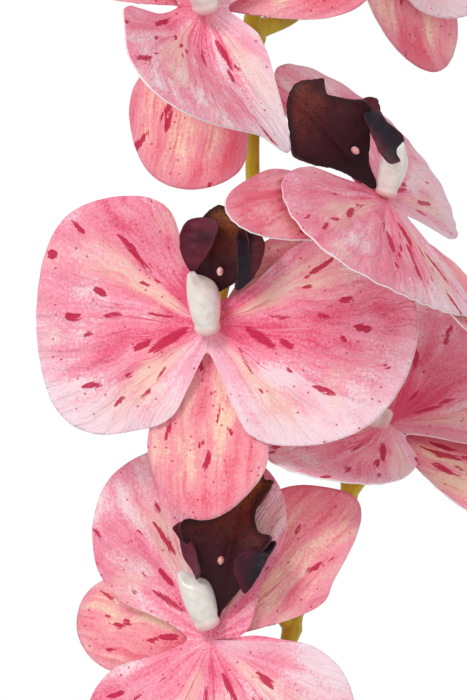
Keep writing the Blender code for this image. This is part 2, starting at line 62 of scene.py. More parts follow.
# Each bloom: its hub, the way it faces, and what sets it apart from the pattern above. The
# edges are margins as they are seen from the front, the blades and wings are in the lip's own plane.
BLOOMS = {
    "g": dict(hub=(160.0, -18.0, 594.0), yaw=-8, pitch=22, roll=96, lip_size=0.78, node=(166.0, 22.6, 600.0)),
    "e": dict(hub=(229.0, 30.0, 554.0), yaw=38, pitch=0, roll=116, petal_roll=-27, lip_size=0.8,
              stalk=[(221.5, 39.0, 548.0), (209.5, 32.0, 523.0)], node=(195.3, 25.0, 516.0), foot=3.0,
              sepal_edge_0=[(223.6, 532.1), (224.7, 524.2), (226.3, 519.5), (228.4, 515.1), (232.8, 509.3),
                            (238.8, 503.6), (244.1, 501.7), (248.0, 503.8), (250.3, 509.8), (250.9, 516.4),
                            (249.8, 522.9), (246.7, 530.8)]),
    "a": dict(hub=(182.5, -28.0, 517.5), yaw=0, pitch=0, roll=100, petal_roll=77, sepal_roll=-15,
              bends=((70, 137, 14), (-12, 0, 52)), sepal_turns=(-6, 0, -2), sepal_sizes=(0.92, 1, 1),
              sepal_bends=(-15, -20, -20), node=(195.2, 25.0, 513.0),
              left_edge=[(189.1, 518.5), (193.5, 515.9), (197.5, 509.8), (200.1, 502.0), (201.9, 494.1),
                         (204.5, 486.3), (207.9, 476.1), (204.0, 480.3), (200.1, 486.3), (194.3, 487.3),
                         (188.6, 488.4), (182.5, 490.2), (176.0, 492.8), (170.8, 496.0), (165.5, 500.7),
                         (161.9, 507.2), (161.3, 511.7), (164.2, 515.9), (170.8, 518.0)],
              sepal_edge_0=[(168.1, 505.9), (165.0, 501.2), (163.2, 495.4), (163.2, 488.9), (165.0, 481.0),
                            (168.1, 475.8), (173.4, 472.7), (179.9, 472.4), (187.8, 474.0), (193.0, 478.4),
                            (195.6, 485.0), (196.2, 490.2), (195.6, 498.1)]),
    "c": dict(hub=(229.4, -14.0, 468.7), yaw=60, pitch=42, roll=136, petal_roll=20,
              bends=((-6, 0, 52), (-6, 180, 52)), sepal_turns=(0, 0, 16), sepal_sizes=(0.9, 0.85, 1.12),
              column_aim=(0.1, 0.45, 0.85), column_foot=(-0.5, 1.0, 0.8), column_size=0.88, lip_tilt=55,
              callus=(1.5, 14.5), node=(197.0, 29.0, 455.0), step=4.9,
              stalk=[(220.5, -3.0, 466.8), (214.0, 8.0, 466.5), (205.0, 20.0, 461.0)],
              blade=[(1.2, 5.4), (2.9, 10), (6.6, 13.7), (10.8, 18.7), (11.6, 21.3), (10, 24), (6.7, 29.2),
                     (7.1, 31.1), (6.2, 33.2), (8.8, 32.9), (6.8, 35.1), (3.9, 37.2), (0.5, 36.8), (-3.2, 34.7),
                     (-7.7, 30), (-12.1, 25.2), (-10.5, 21), (-5.5, 14.9), (-2.5, 9), (-0.6, 4.4)],
              wings=([(12.5, 22.2), (9, 19), (5.8, 14), (3.4, 9.5), (4.4, 5.6), (9.5, 4.4), (12.6, 8.5), (12, 12.7),
                      (12.4, 16), (14.5, 20)],),
              right_edge=[(247.5, 460.9), (246.7, 468.0), (242.7, 475.8), (236.2, 485.0), (227.0, 494.1),
                          (216.6, 501.2), (207.4, 505.1), (203.0, 505.7), (201.1, 502.8), (201.4, 498.1),
                          (203.5, 491.5), (207.4, 482.4)],
              left_edge=[(267.6, 435.2), (259.8, 438.4), (251.1, 439.7), (241.4, 441.5), (233.6, 444.4),
                         (226.3, 448.3), (219.2, 453.0), (212.1, 458.8), (207.4, 463.5), (204.0, 468.0),
                         (202.4, 471.9), (202.4, 474.5), (204.3, 476.6), (207.4, 477.4), (215.3, 476.9),
                         (221.8, 474.5), (226.3, 471.9)],
              sepal_edge_2=[(224.4, 456.2), (221.8, 458.8), (219.2, 460.9), (215.3, 460.4), (207.4, 458.5),
                            (199.6, 458.8), (193.0, 460.4), (188.6, 463.0), (186.5, 466.6), (187.0, 470.6),
                            (190.4, 473.2), (195.6, 474.2), (203.5, 475.0)]),
    "m": dict(hub=(183.6, 0.0, 436.3), yaw=-10, pitch=0, roll=86, left=(0.87, 0.98), right=(1.05, 0.96),
              right_turn=-3, left_turn=4, squeeze=(1.0, 0.74), droop=1.5, bends=((8, 0, 52), (8, 180, 52)),
              sepal_turns=(2, 0, 0), sepal_sizes=(1, 0.88, 0.88), sepal_bends=(6, -10, -10),
              column_aim=(-0.12, 0.93, 0.34), callus=(3.4, 14.4), node=(195.4, 26.5, 470.0),
              stalk=[(186.0, 12.0, 440.0), (190.0, 19.0, 456.0)],
              blade=[(1, 5), (1.6, 7.5), (3.5, 9.5), (7, 11.5), (9.5, 14), (11, 18), (11, 23), (9, 27), (6, 30),
                     (3, 31.5), (1, 31), (-1, 29.5), (-3, 26), (-4.5, 22), (-5, 18), (-4.2, 14), (-2.6, 10.5),
                     (-1.2, 7.5), (-1, 5)],
              left_edge=[(176.3, 463.5), (172.9, 467.7), (168.1, 469.5), (162.9, 470.1), (157.7, 469.8),
                         (152.4, 468.5), (147.2, 466.1), (143.3, 461.9), (140.9, 456.2), (139.3, 448.3),
                         (138.6, 440.5), (138.8, 432.6), (139.9, 424.8), (142.0, 416.9), (145.1, 411.7),
                         (149.8, 408.5), (156.4, 407.5), (162.9, 409.1), (168.1, 411.7), (172.1, 415.6)],
              right_edge=[(210.0, 460.9), (220.5, 458.8), (229.7, 454.9), (235.7, 447.0), (238.3, 440.5),
                          (238.6, 435.2), (237.5, 428.7), (234.9, 422.1), (231.0, 415.6), (225.7, 410.4),
                          (219.2, 407.0), (211.3, 405.4), (203.5, 405.1), (196.9, 406.4), (191.7, 409.6),
                          (187.8, 414.3)],
              sepal_edge_0=[(167.9, 409.1), (168.1, 401.2), (170.8, 393.4), (175.5, 387.6), (180.7, 384.5),
                            (185.2, 385.8), (191.7, 390.7), (197.5, 397.3), (200.1, 402.5)],
              wings=([(-7, 24), (-5.5, 27), (-1, 28), (2.5, 27.3), (3.4, 25), (1.5, 20), (-1.5, 16), (-4, 13.9),
                      (-5.6, 15.5), (-6.8, 19)],
                     [(7.9, 10), (8.6, 14), (8.3, 20), (8, 25), (11.5, 25.6), (14.8, 23), (14.9, 18.5), (13, 14),
                      (10, 11)])),
    "d": dict(hub=(231.9, 36.0, 409.9), yaw=12, pitch=52, roll=150, petal_roll=-14, left=(0.84, 0.72),
              right=(1.05, 1.05), bends=((10, 0, 52), (25, 180, 52)), sepal_turns=(-6, 0, 0),
              sepal_sizes=(1, 0.9, 0.46), lip_size=0.8, column_aim=(0.0, 1.0, 0.1), column_foot=(0, -0.5, 0.6),
              node=(222.2, 50.0, 390.0),
              left_edge=[(234.9, 406.4), (237.8, 403.3), (237.8, 399.9), (234.9, 396.8), (229.7, 395.2),
                         (223.1, 395.2), (215.3, 396.2), (207.4, 398.1), (200.9, 399.4), (197.5, 400.7)]),
    "b": dict(hub=(184.0, 20.0, 352.6), yaw=-12, pitch=4, roll=75, petal_roll=104, sepal_roll=28, left=(1.02, 1.02),
              left_turn=10, left_spread=1.2, sepal_turns=(0, 5, 8), sepal_sizes=(0.85, 1.0, 0.8),
              sepal_bends=(-15, -15, -30), column_aim=(-0.48, 0.82, 0.30), column_foot=(-0.8, 3.0, 3.4),
              callus=(-1.4, 21.5), squeeze=(0.60, 1.0), node=(205.8, 39.5, 353.5),
              stalk=[(191.0, 30.0, 359.5), (199.0, 36.0, 361.0)],
              sepal_edge_1=[(202.2, 361.4), (212.6, 367.2), (219.2, 375.0), (223.1, 384.2), (225.2, 392.0),
                            (221.0, 393.4), (214.0, 391.3), (207.4, 385.5)],
              wings=([(-15.5, 26.5), (-13, 24), (-11, 20), (-7.5, 17), (-5.7, 15), (-5.0, 17.5), (-7.5, 22),
                      (-10.5, 26), (-13.2, 29)],
                     [(6.8, 14.8), (4.6, 18.5), (3.9, 22.6), (6, 26.5), (11.8, 30.2), (11.2, 25), (10.2, 20.6),
                      (8.6, 17)])),
    "f": dict(hub=(206.0, -4.0, 272.0), yaw=16, pitch=-10, roll=84, sepal_sizes=(0.92, 0.92, 0.92), left=(0.92, 0.92),
              right=(0.92, 0.92), lip_size=0.8, node=(206.8, 30.0, 284.0)),
}
NEAR_BLOOMS = "mcba"
# Points round a sheet's rim and nested rings inside it, for the near blooms and the far ones.
PETAL_MESH, SEPAL_MESH = {True: (360, 44), False: (240, 30)}, {True: (330, 38), False: (240, 28)}
LIP_MESH, WING_MESH = (220, 22), (96, 12)
PETAL_MARKS_EACH, SEPAL_MARKS_EACH = 22, 9

# Dyed marks of the middle bloom: x, y, length, width, direction in degrees.
PETAL_MARKS_M = [
    (-36.8, 23.6, 5.6, 1.6, 139), (-42.7, 16.0, 2.8, 2.4, 154), (-21.0, 17.8, 14.9, 1.7, 135),
    (-29.6, 6.9, 4.2, 2.0, 154), (-17.8, 9.8, 3.2, 1.1, 169), (-36.2, 0.0, 4.7, 2.3, 182),
    (-32.2, -4.4, 2.9, 1.2, 201), (-25.7, 1.2, 5, 1.2, 192), (-13.3, 2.0, 7.5, 0.9, 179), (-24.6, 3.9, 2, 0.7, 174),
    (-10.5, -4.4, 12.5, 2.7, 215), (-17.3, -6.2, 5.6, 2.0, 214), (-20.4, -14.0, 2.9, 1.3, 216),
    (-30.2, -17.7, 6.4, 1.8, 187), (-22.4, -21.5, 4, 1.2, 229), (-15.8, -19.1, 4.2, 0.8, 229),
    (-11.9, -13.4, 4.6, 0.7, 240), (-14.6, 10.7, 2, 0.7, 154), (28.3, 17.0, 10, 1.5, 36), (25.5, 12.0, 3.3, 1.0, 18),
    (36.0, 9.3, 4.2, 1.6, 13), (30.8, 7.0, 2.2, 0.6, 4), (30.8, 4.4, 5, 1.2, -9), (41.0, 2.3, 5.2, 2.2, -7),
    (36.2, -1.1, 2.8, 1.4, -37), (18.4, 3.7, 6.5, 0.9, 4), (13.9, -2.2, 10.6, 2.5, -30), (20.8, -3.1, 4.7, 1.8, -26),
    (22.2, -10.1, 2.6, 1.3, -36), (31.9, -14.6, 6.8, 1.7, -17), (15.1, -15.9, 2, 1, -56), (11.9, -11.0, 3, 0.7, -66),
    (48.3, -7.4, 3, 1, -16), (9.8, -7.6, 7, 0.6, -63)]
SEPAL_MARKS_M = [
    (-2.3, -10.1, 4.6, 1.5, -70), (-1.7, -14.8, 3, 1, 70), (-6.1, -18.2, 3, 1, 64), (-9.4, -28.4, 5.8, 1.1, 74),
    (3.5, -23.4, 6, 0.6, 81), (1.3, -17.4, 2, 0.8, -76), (7.2, -27.4, 3, 1.2, -56), (-0.5, -31.1, 2.6, 1.3, 64),
    (1.6, -35.6, 5.6, 1.7, 79)]

# ------------------------------------------------------------------ spike, buds, leaves, roots
# Spike: x, y, z, radius. Buds: foot, aim, length, radius. Leaves: azimuth, length, width, first and
# last slope, height of the foot. Roots: azimuth, share of the last drop, radius.
SPIKE = [(2, -17, 108.5, 3.6), (3, -17, 150, 3.1), (6, -15, 220, 2.9), (12, -10, 300, 2.8), (22, -4, 380, 2.7),
         (40, 4, 460, 2.6), (66, 10, 530, 2.5), (98, 16, 580, 2.4), (130, 20, 605, 2.3), (160, 22, 604, 2.2),
         (182, 24, 584, 2.1), (193, 25, 556, 2.1), (195.2, 25, 515.8, 2.0), (195.2, 26, 475.5, 1.9),
         (198.0, 34, 447, 1.9), (209.0, 48, 418, 1.8), (221.6, 50, 393, 1.8), (216.0, 48, 372, 1.8),
         (207.5, 42, 358.5, 1.8), (205.8, 39.5, 353.5, 2.0), (202.4, 38, 340, 1.7), (204.0, 36, 312, 1.6),
         (206.0, 32, 284, 1.5), (207.5, 27, 262, 1.3), (208.5, 22, 240, 1.1), (208.0, 18, 222, 0.9)]
BUDS = [((205.2, 26.0, 262.0), (-0.85, -0.35, -0.40), 24, 6.0), ((210.6, 20.8, 246.0), (0.80, -0.40, -0.45), 21, 5.2),
        ((206.2, 18.6, 232.0), (-0.75, -0.20, -0.62), 18, 4.4), ((208.4, 16.2, 219.6), (0.25, -0.30, -0.92), 15, 3.6)]
LEAVES = [(6, 178, 68, 30, -52, 120), (187, 196, 70, 34, -46, 122), (-13, 150, 60, 52, -24, 130),
          (170, 158, 62, 56, -26, 132), (14, 92, 40, 74, 34, 141)]
ROOT_RISE = [(17, 116), (34, 115.5), (50, 121), (60, 125.0), (69, 125.0), (77, 118), (81, 103), (83, 88)]
ROOTS = [(62, 1.0, 2.4), (128, 0.93, 2.2), (236, 0.97, 2.3)]
SPIKE_RINGS = [(3, -17, 165), (8, -13, 250), (16, -7, 335), (34, 2, 436)]
SPIKE_STEPS, PEDICEL_STEPS, ROOT_STEPS, CROWN_STEPS = 420, 60, 120, 60
YOUNGEST_LEAF = 5
POT_R_BASE, POT_R_TOP, POT_H, POT_WALL, POT_FLOOR = 50.0, 65.0, 120.0, 5.0, 7.0
CHIPS_PER_SQUARE_METRE, CHIP_SEED, CHIP_TILT, CHIP_SIZES = 42000.0, 5, 0.55, (0.65, 1.25)


# ------------------------------------------------------------------ finishes
def dye(red, green, blue):
    """A colour given as the eye names it, 0 to 255, turned into light."""
    shares = [c / 255 for c in (red, green, blue)]
    return tuple(c / 12.92 if c <= 10 / 255 else ((c + 0.055) / 1.055) ** 2.4 for c in shares) + (1,)


class Finish:
    """A material whose pattern is drawn with nodes."""

    def __init__(self, name, rough=0.5, **shader):
        self.material = bpy.data.materials.new(name)
        self.material.use_nodes = True
        self.nodes, self.links = self.material.node_tree.nodes, self.material.node_tree.links
        self.shader = self.nodes["Principled BSDF"]
        self.shader.inputs["Roughness"].default_value = rough
        for key, value in shader.items():
            self.shader.inputs[key.replace("_", " ")].default_value = value

    def feed(self, socket, value):
        """Link a socket, or set it."""
        if isinstance(value, bpy.types.NodeSocket):
            self.links.new(value, socket)
        elif value is not None:
            socket.default_value = value

    def sum(self, how, a, b=None):
        node = self.nodes.new("ShaderNodeMath")
        node.operation = how
        for socket, value in zip(node.inputs, (a, b)):
            self.feed(socket, value)
        return node.outputs[0]

    def add(self, *values):
        out = values[0]
        for value in values[1:]:
            out = self.sum("ADD", out, value)
        return out

    def times(self, *values):
        out = values[0]
        for value in values[1:]:
            out = self.sum("MULTIPLY", out, value)
        return out

    def step(self, value, low, high, to=(0.0, 1.0)):
        """Smooth rise from low to high."""
        node = self.nodes.new("ShaderNodeMapRange")
        node.interpolation_type = "SMOOTHSTEP"
        self.feed(node.inputs["Value"], value)
        for key, number in (("From Min", low), ("From Max", high), ("To Min", to[0]), ("To Max", to[1])):
            node.inputs[key].default_value = number
        return node.outputs["Result"]

    def bell(self, value, middle, width):
        """One at the middle, falling smoothly to nothing at twice the width."""
        off = self.sum("ABSOLUTE", self.add(value, -middle))
        return self.step(off, 0.0, 2.0 * width, (1.0, 0.0))

    def blend(self, share, under, over):
        """One colour laid over another by a share."""
        node = self.nodes.new("ShaderNodeMix")
        node.data_type = "RGBA"
        self.feed(node.inputs[0], share)
        self.feed(node.inputs[6], under)
        self.feed(node.inputs[7], over)
        return node.outputs[2]

    def lookup(self, name):
        """An attribute of the piece."""
        node = self.nodes.new("ShaderNodeAttribute")
        node.attribute_name = name
        return node.outputs

    def split(self, vector):
        node = self.nodes.new("ShaderNodeSeparateXYZ")
        self.feed(node.inputs[0], vector)
        return node.outputs

    def join(self, x, y, z):
        node = self.nodes.new("ShaderNodeCombineXYZ")
        for socket, value in zip(node.inputs, (x, y, z)):
            self.feed(socket, value)
        return node.outputs[0]

    def place(self):
        return self.nodes.new("ShaderNodeTexCoord").outputs["Object"]

    def grain(self, where, scale, detail=2.0, rough=0.5):
        node = self.nodes.new("ShaderNodeTexNoise")
        self.feed(node.inputs["Vector"], where)
        node.inputs["Scale"].default_value = scale
        node.inputs["Detail"].default_value = detail
        node.inputs["Roughness"].default_value = rough
        return node.outputs["Fac"]

    def dots(self, where, scale, size):
        """Round dots, and a chance value for each."""
        node = self.nodes.new("ShaderNodeTexVoronoi")
        self.feed(node.inputs["Vector"], where)
        node.inputs["Scale"].default_value = scale
        return self.step(node.outputs["Distance"], size, size * 0.6), node.outputs["Color"]

    def paint(self, colour):
        self.feed(self.shader.inputs["Base Color"], colour)

    def emboss(self, height, strength, distance=0.0005):
        node = self.nodes.new("ShaderNodeBump")
        node.inputs["Strength"].default_value = strength
        node.inputs["Distance"].default_value = distance
        self.feed(node.inputs["Height"], height)
        self.links.new(node.outputs["Normal"], self.shader.inputs["Normal"])


MAGENTA_DEEP, MAGENTA = dye(174, 6, 56), dye(212, 32, 84)


def marks_over(f, colour, flat, edge_noise):
    """Torn magenta marks and fine red flecks laid over a petal colour."""
    inside = f.add(f.lookup("mark")["Fac"], f.times(f.add(edge_noise, -0.5), 2.6))
    tone = f.blend(f.grain(flat, 0.8), MAGENTA_DEEP, MAGENTA)
    fleck, chance = f.dots(flat, 0.42, 0.17)
    lone = f.sum("GREATER_THAN", f.split(chance)[0], 0.52)
    colour = f.blend(f.times(fleck, lone, 0.8), colour, dye(196, 44, 84))
    fine, chance = f.dots(flat, 1.05, 0.16)
    lone = f.sum("GREATER_THAN", f.split(chance)[1], 0.42)
    colour = f.blend(f.times(fine, lone, 0.72), colour, dye(200, 64, 96))
    return f.blend(f.times(f.step(inside, -0.10, 0.16), 0.93), colour, tone)


def petal_finish(name, vivid=1.0, deepen_and_shade=0.0):
    """Pink petal: a strong band down the middle, cream streaks, lilac margin."""
    f = Finish(name, rough=0.55, Specular_IOR_Level=0.15)
    vein, flat = f.lookup("vein")["Vector"], f.lookup("flat")["Vector"]
    angle, reach, seed = f.split(vein)
    rim = f.lookup("rim")["Fac"]
    bent = f.add(angle, f.times(f.add(f.grain(flat, 0.06, 3.0), -0.5), 16.0))
    broad = f.grain(f.join(f.times(bent, 0.10), f.times(reach, 0.035), seed), 1.0, 3.0, 0.55)
    fine = f.grain(f.join(f.times(bent, 0.42), f.times(reach, 0.05), seed), 1.0, 3.0, 0.6)
    cloud = f.grain(flat, 0.075, 4.0, 0.6)
    print_grain = f.grain(flat, 1.2, 3.0, 0.8)
    across = f.sum("ABSOLUTE", bent)
    band = f.times(f.step(across, 36.0, 6.0), f.step(reach, 54.0, 18.0))
    hub = f.step(reach, 22.0, 7.0)
    lipward = f.times(f.step(bent, 20.0, 52.0), f.step(reach, 56.0, 22.0, (0.35, 1.0)))
    pink = f.add(0.42, f.times(band, 0.38 * vivid), f.times(hub, 0.34 * vivid), f.times(lipward, 0.30 * vivid),
                 f.times(f.add(broad, -0.5), 1.7), f.times(f.add(cloud, -0.5), 1.2),
                 f.times(f.add(print_grain, -0.5), 1.3))
    away = f.times(f.step(bent, -9.0, -36.0), f.step(reach, 18.0, 40.0))
    pink = f.sum("SUBTRACT", pink, f.times(away, 0.50))
    pale = f.blend(f.step(cloud, 0.42, 0.62), dye(252, 220, 228), dye(252, 200, 212))
    colour = f.blend(f.step(pink, 0.1, 0.62), pale, dye(250, 152, 176))
    colour = f.blend(f.step(pink, 0.55, 1.20), colour, dye(234, 90, 126))
    cream = f.add(f.times(f.bell(bent, 31.0, 6.0), f.step(reach, 4.0, 13.0), f.step(reach, 46.0, 26.0)),
                  f.times(f.bell(bent, -41.0, 6.0), f.step(reach, 5.0, 12.0), f.step(reach, 44.0, 22.0), 0.8),
                  f.times(f.step(f.grain(flat, 0.05, 2.0), 0.56, 0.70), 0.45))
    cream = f.sum("MINIMUM", f.times(cream, f.step(fine, 0.25, 0.55)), 0.35 + 0.43 * vivid)
    colour = f.blend(cream, colour, dye(250, 216, 196))
    streak = f.times(f.step(fine, 0.52, 0.66), f.step(reach, 48.0, 10.0), f.step(across, 66.0, 20.0, (0.3, 1.0)))
    colour = f.blend(f.times(streak, 0.7), colour, dye(216, 50, 98))
    colour = f.blend(f.times(f.step(rim, 8.0, 0.5), f.step(bent, 30.0, -20.0), 0.42), colour, dye(242, 222, 234))
    torn = f.grain(f.join(f.times(bent, 0.9), f.times(reach, 0.22), seed), 1.0, 3.0, 0.7)
    colour = marks_over(f, colour, flat, torn)
    # A deeper copy of the petal: blended towards deep magenta, partly real colour and partly painted shade.
    if deepen_and_shade:
        colour = f.blend(deepen_and_shade, colour, dye(190, 18, 58))
    f.paint(colour)
    ridge = f.times(f.step(fine, 0.3, 0.7), f.step(reach, 14.0, 34.0))
    f.emboss(f.add(ridge, f.times(print_grain, 0.2)), 0.6, 0.0008)
    return f.material


def sepal_finish(name):
    """Coral sepal with cream streaks along it."""
    f = Finish(name, rough=0.55, Specular_IOR_Level=0.15)
    vein, flat = f.lookup("vein")["Vector"], f.lookup("flat")["Vector"]
    along, across, seed = f.split(vein)
    rim = f.lookup("rim")["Fac"]
    bent = f.add(across, f.times(f.add(f.grain(flat, 0.05, 2.0), -0.5), 8.0))
    broad = f.grain(f.join(f.times(bent, 0.16), f.times(along, 0.03), seed), 1.0, 3.0, 0.55)
    fine = f.grain(f.join(f.times(bent, 0.85), f.times(along, 0.06), seed), 1.0, 3.0, 0.6)
    cloud = f.grain(flat, 0.07, 4.0, 0.6)
    print_grain = f.grain(flat, 1.2, 3.0, 0.8)
    coral = f.add(0.55, f.times(f.add(broad, -0.5), 2.4), f.times(f.add(cloud, -0.5), 1.2),
                  f.times(f.add(print_grain, -0.5), 1.3), f.times(f.step(along, 34.0, 50.0), 0.30),
                  f.times(f.step(along, 16.0, 6.0), 0.3))
    colour = f.blend(f.step(coral, 0.10, 0.62), dye(252, 212, 188), dye(248, 156, 168))
    colour = f.blend(f.step(coral, 0.60, 1.10), colour, dye(238, 108, 128))
    colour = f.blend(f.times(f.step(fine, 0.52, 0.72), 0.5), colour, dye(222, 76, 100))
    colour = f.blend(f.times(f.step(rim, 4.5, 0.4), 0.35), colour, dye(228, 158, 178))
    torn = f.grain(f.join(f.times(bent, 1.6), f.times(along, 0.22), seed), 1.0, 3.0, 0.7)
    colour = marks_over(f, colour, flat, torn)
    f.paint(colour)
    f.emboss(f.add(f.step(fine, 0.3, 0.7), f.times(print_grain, 0.25)), 0.45, 0.0005)
    return f.material


def lip_finish(name, wing=False):
    """Velvet burgundy lip, amber towards its apex."""
    f = Finish(name, rough=0.5, Specular_IOR_Level=0.22)
    flat = f.lookup("flat")["Vector"]
    x, y = f.split(flat)[:2]
    mottle = f.grain(flat, 0.35, 4.0, 0.65)
    if wing:
        colour = f.blend(f.step(mottle, 0.30, 0.75), dye(84, 22, 40), dye(108, 30, 54))
        colour = f.blend(f.step(f.grain(flat, 0.10, 1.0), 0.48, 0.70), colour, dye(56, 18, 32))
        colour = f.blend(f.step(x, 4.0, 9.0), colour, dye(34, 24, 34))
        colour = f.blend(f.step(x, 11.6, 12.6), colour, dye(80, 16, 28))
    else:
        reach = f.add(y, f.times(f.add(mottle, -0.5), 14.0))
        colour = f.blend(f.step(reach, 10.0, 24.0), dye(38, 4, 13), dye(60, 9, 24))
        colour = f.blend(f.step(reach, 22.0, 34.0), colour, dye(100, 34, 28))
        colour = f.blend(f.step(reach, 33.0, 46.0), colour, dye(142, 84, 40))
        edge = f.step(f.lookup("rim")["Fac"], 2.6, 0.3)
        colour = f.blend(f.times(edge, 0.8), colour, dye(42, 8, 18))
        fleck = f.dots(flat, 1.1, 0.33)[0]
        colour = f.blend(f.times(fleck, f.step(y, 14.0, 26.0), 0.85), colour, dye(30, 4, 12))
    f.paint(colour)
    f.emboss(f.grain(flat, 2.2, 3.0), 0.35, 0.0004)
    return f.material


def speckled(name, base, other, rough, scale, bump=0.2, spot=None, **shader):
    """A plain natural surface in two tones, with optional spots."""
    f = Finish(name, rough=rough, **shader)
    where = f.place()
    colour = f.blend(f.step(f.grain(where, scale, 4.0, 0.6), 0.35, 0.66), base, other)
    if spot:
        tone, size, amount = spot
        dot, chance = f.dots(where, size, 0.25)
        colour = f.blend(f.times(dot, f.sum("GREATER_THAN", f.split(chance)[0], 0.45), amount), colour, tone)
    f.paint(colour)
    f.emboss(f.grain(where, scale * 5.0, 3.0), bump, 0.0004)
    return f.material


def stem_finish():
    """Olive yellow stem with faint lengthwise fibres."""
    f = Finish("stem_skin", rough=0.45, Specular_IOR_Level=0.4)
    where = f.place()
    x, y, z = f.split(where)
    fibre = f.grain(f.join(f.times(x, 900.0), f.times(y, 900.0), f.times(z, 60.0)), 1.0, 2.0)
    colour = f.blend(f.step(f.grain(where, 45.0, 3.0), 0.38, 0.62), dye(168, 140, 14), dye(198, 178, 30))
    colour = f.blend(f.times(f.step(fibre, 0.5, 0.75), 0.4), colour, dye(136, 106, 8))
    f.paint(colour)
    f.emboss(fibre, 0.25, 0.0003)
    return f.material


def leaf_finish(name, top, under):
    """Thick leaf: deep green, lighter along the midrib, with fine parallel veins."""
    f = Finish(name, rough=0.34, Specular_IOR_Level=0.45, Coat_Weight=0.15, Coat_Roughness=0.25)
    flat = f.lookup("flat")["Vector"]
    along, across, side = f.split(flat)
    mottle = f.grain(flat, 0.06, 4.0, 0.6)
    lines = f.grain(f.join(f.times(along, 0.012), f.times(across, 0.9), side), 1.0, 2.0)
    colour = f.blend(f.step(mottle, 0.36, 0.66), dye(*top), dye(top[0] + 26, top[1] + 28, top[2] + 12))
    colour = f.blend(f.times(f.bell(across, 0.0, 1.3), 0.7), colour, dye(126, 156, 78))
    colour = f.blend(f.times(f.step(lines, 0.5, 0.7), 0.22), colour, dye(36, 66, 30))
    colour = f.blend(f.step(side, 0.4, 0.6), colour, dye(*under))
    f.paint(colour)
    f.emboss(f.add(lines, f.times(f.grain(flat, 1.2, 2.0), 0.4)), 0.22, 0.0006)
    return f.material


def glaze_finish():
    """White glazed pot: nearly even, darker and more beige towards the foot."""
    f = Finish("pot_glaze", rough=0.18, Specular_IOR_Level=0.5, Coat_Weight=0.4, Coat_Roughness=0.08)
    where = f.place()
    z = f.split(where)[2]
    tone = f.grain(where, 22.0, 3.0)
    colour = f.blend(f.step(tone, 0.35, 0.65), dye(240, 238, 233), dye(247, 246, 243))
    colour = f.blend(f.times(f.step(z, 0.010, 0.0), 0.5), colour, dye(214, 206, 192))
    pit, chance = f.dots(where, 260.0, 0.10)
    rare = f.sum("GREATER_THAN", f.split(chance)[0], 0.93)
    f.paint(f.blend(f.times(pit, rare, 0.35), colour, dye(150, 138, 120)))
    f.emboss(f.grain(where, 60.0, 2.0), 0.10, 0.0006)
    return f.material


PETAL_SKIN = petal_finish("petal_skin")
PETAL_SOFT = petal_finish("petal_skin_soft", 0.45)
# Bloom c's petals: a duskier, deeper pink copy of the petal finish, its darkening partly painted shade.
PETAL_DUSKY_AND_SHADED = petal_finish("petal_skin_dusk", 0.6, 0.14)
# Bloom d's right petal: a saturated deep pink copy, partly real colour and partly painted shade.
PETAL_DEEP_AND_SHADED = petal_finish("petal_skin_deep", 1.2, 0.32)
PETAL_SKINS = dict(a=PETAL_SOFT, b=PETAL_SOFT, g=PETAL_SOFT, c=PETAL_DUSKY_AND_SHADED, d=PETAL_DEEP_AND_SHADED)
SEPAL_SKIN = sepal_finish("sepal_skin")
CUT_EDGE = speckled("cut_edge", dye(246, 236, 236), dye(238, 216, 222), 0.6, 400.0)
LIP_SKIN = lip_finish("lip_velvet")
WING_SKIN = lip_finish("lip_wing_velvet", wing=True)
LIP_EDGE = speckled("lip_edge", dye(60, 22, 34), dye(84, 34, 46), 0.6, 400.0)
# The callus: pink with pale patches, the pale partly its own colour and partly a painted highlight.
CALLUS = speckled("lip_callus", dye(238, 128, 134), dye(250, 214, 208), 0.35, 900.0)
STEM_SKIN = stem_finish()
BUD_SKIN = speckled("bud_skin", dye(196, 178, 96), dye(228, 150, 150), 0.45, 90.0, 0.15, (dye(186, 60, 84), 900.0, 0.6))
BARK_SKIN = speckled("bark_chip", dye(92, 62, 42), dye(52, 34, 24), 0.9, 160.0, 0.8, (dye(132, 96, 66), 500.0, 0.5))
BARK_DARK = speckled("bark_shade", dye(40, 28, 20), dye(24, 17, 12), 0.95, 120.0, 0.8)
GLAZE = glaze_finish()


# ------------------------------------------------------------------ mesh helpers
def turn(xy, degrees):
    """Points in a plane, turned anticlockwise."""
    c, s = math.cos(math.radians(degrees)), math.sin(math.radians(degrees))
    return np.asarray(xy, float) @ np.array([[c, s], [-s, c]])


def even(out, count, closed):
    """Spread points evenly along a dense line."""
    along = np.r_[0, np.cumsum(np.linalg.norm(np.diff(out[:, :3], axis=0), axis=1))]
    want = np.linspace(0, along[-1], count, endpoint=not closed)
    return np.column_stack([np.interp(want, along, out[:, c]) for c in range(out.shape[1])])


def smooth_line(points, count, closed=False):
    """Catmull-Rom through the given rows."""
    p = np.array(points, float)
    if closed:
        p = np.vstack([p[-1], p, p[0], p[1]])
    else:
        p = np.vstack([2 * p[0] - p[1], p, 2 * p[-1] - p[-2]])
    t = np.linspace(0, 1, 24, endpoint=False)[:, None]
    rows = [0.5 * ((2 * p[k]) + (p[k + 1] - p[k - 1]) * t + (2 * p[k - 1] - 5 * p[k] + 4 * p[k + 1] - p[k + 2]) * t * t
                   + (3 * p[k] - p[k - 1] - 3 * p[k + 1] + p[k + 2]) * t ** 3) for k in range(1, len(p) - 2)]
    return even(np.vstack(rows + [p[-2][None]]), count, closed)


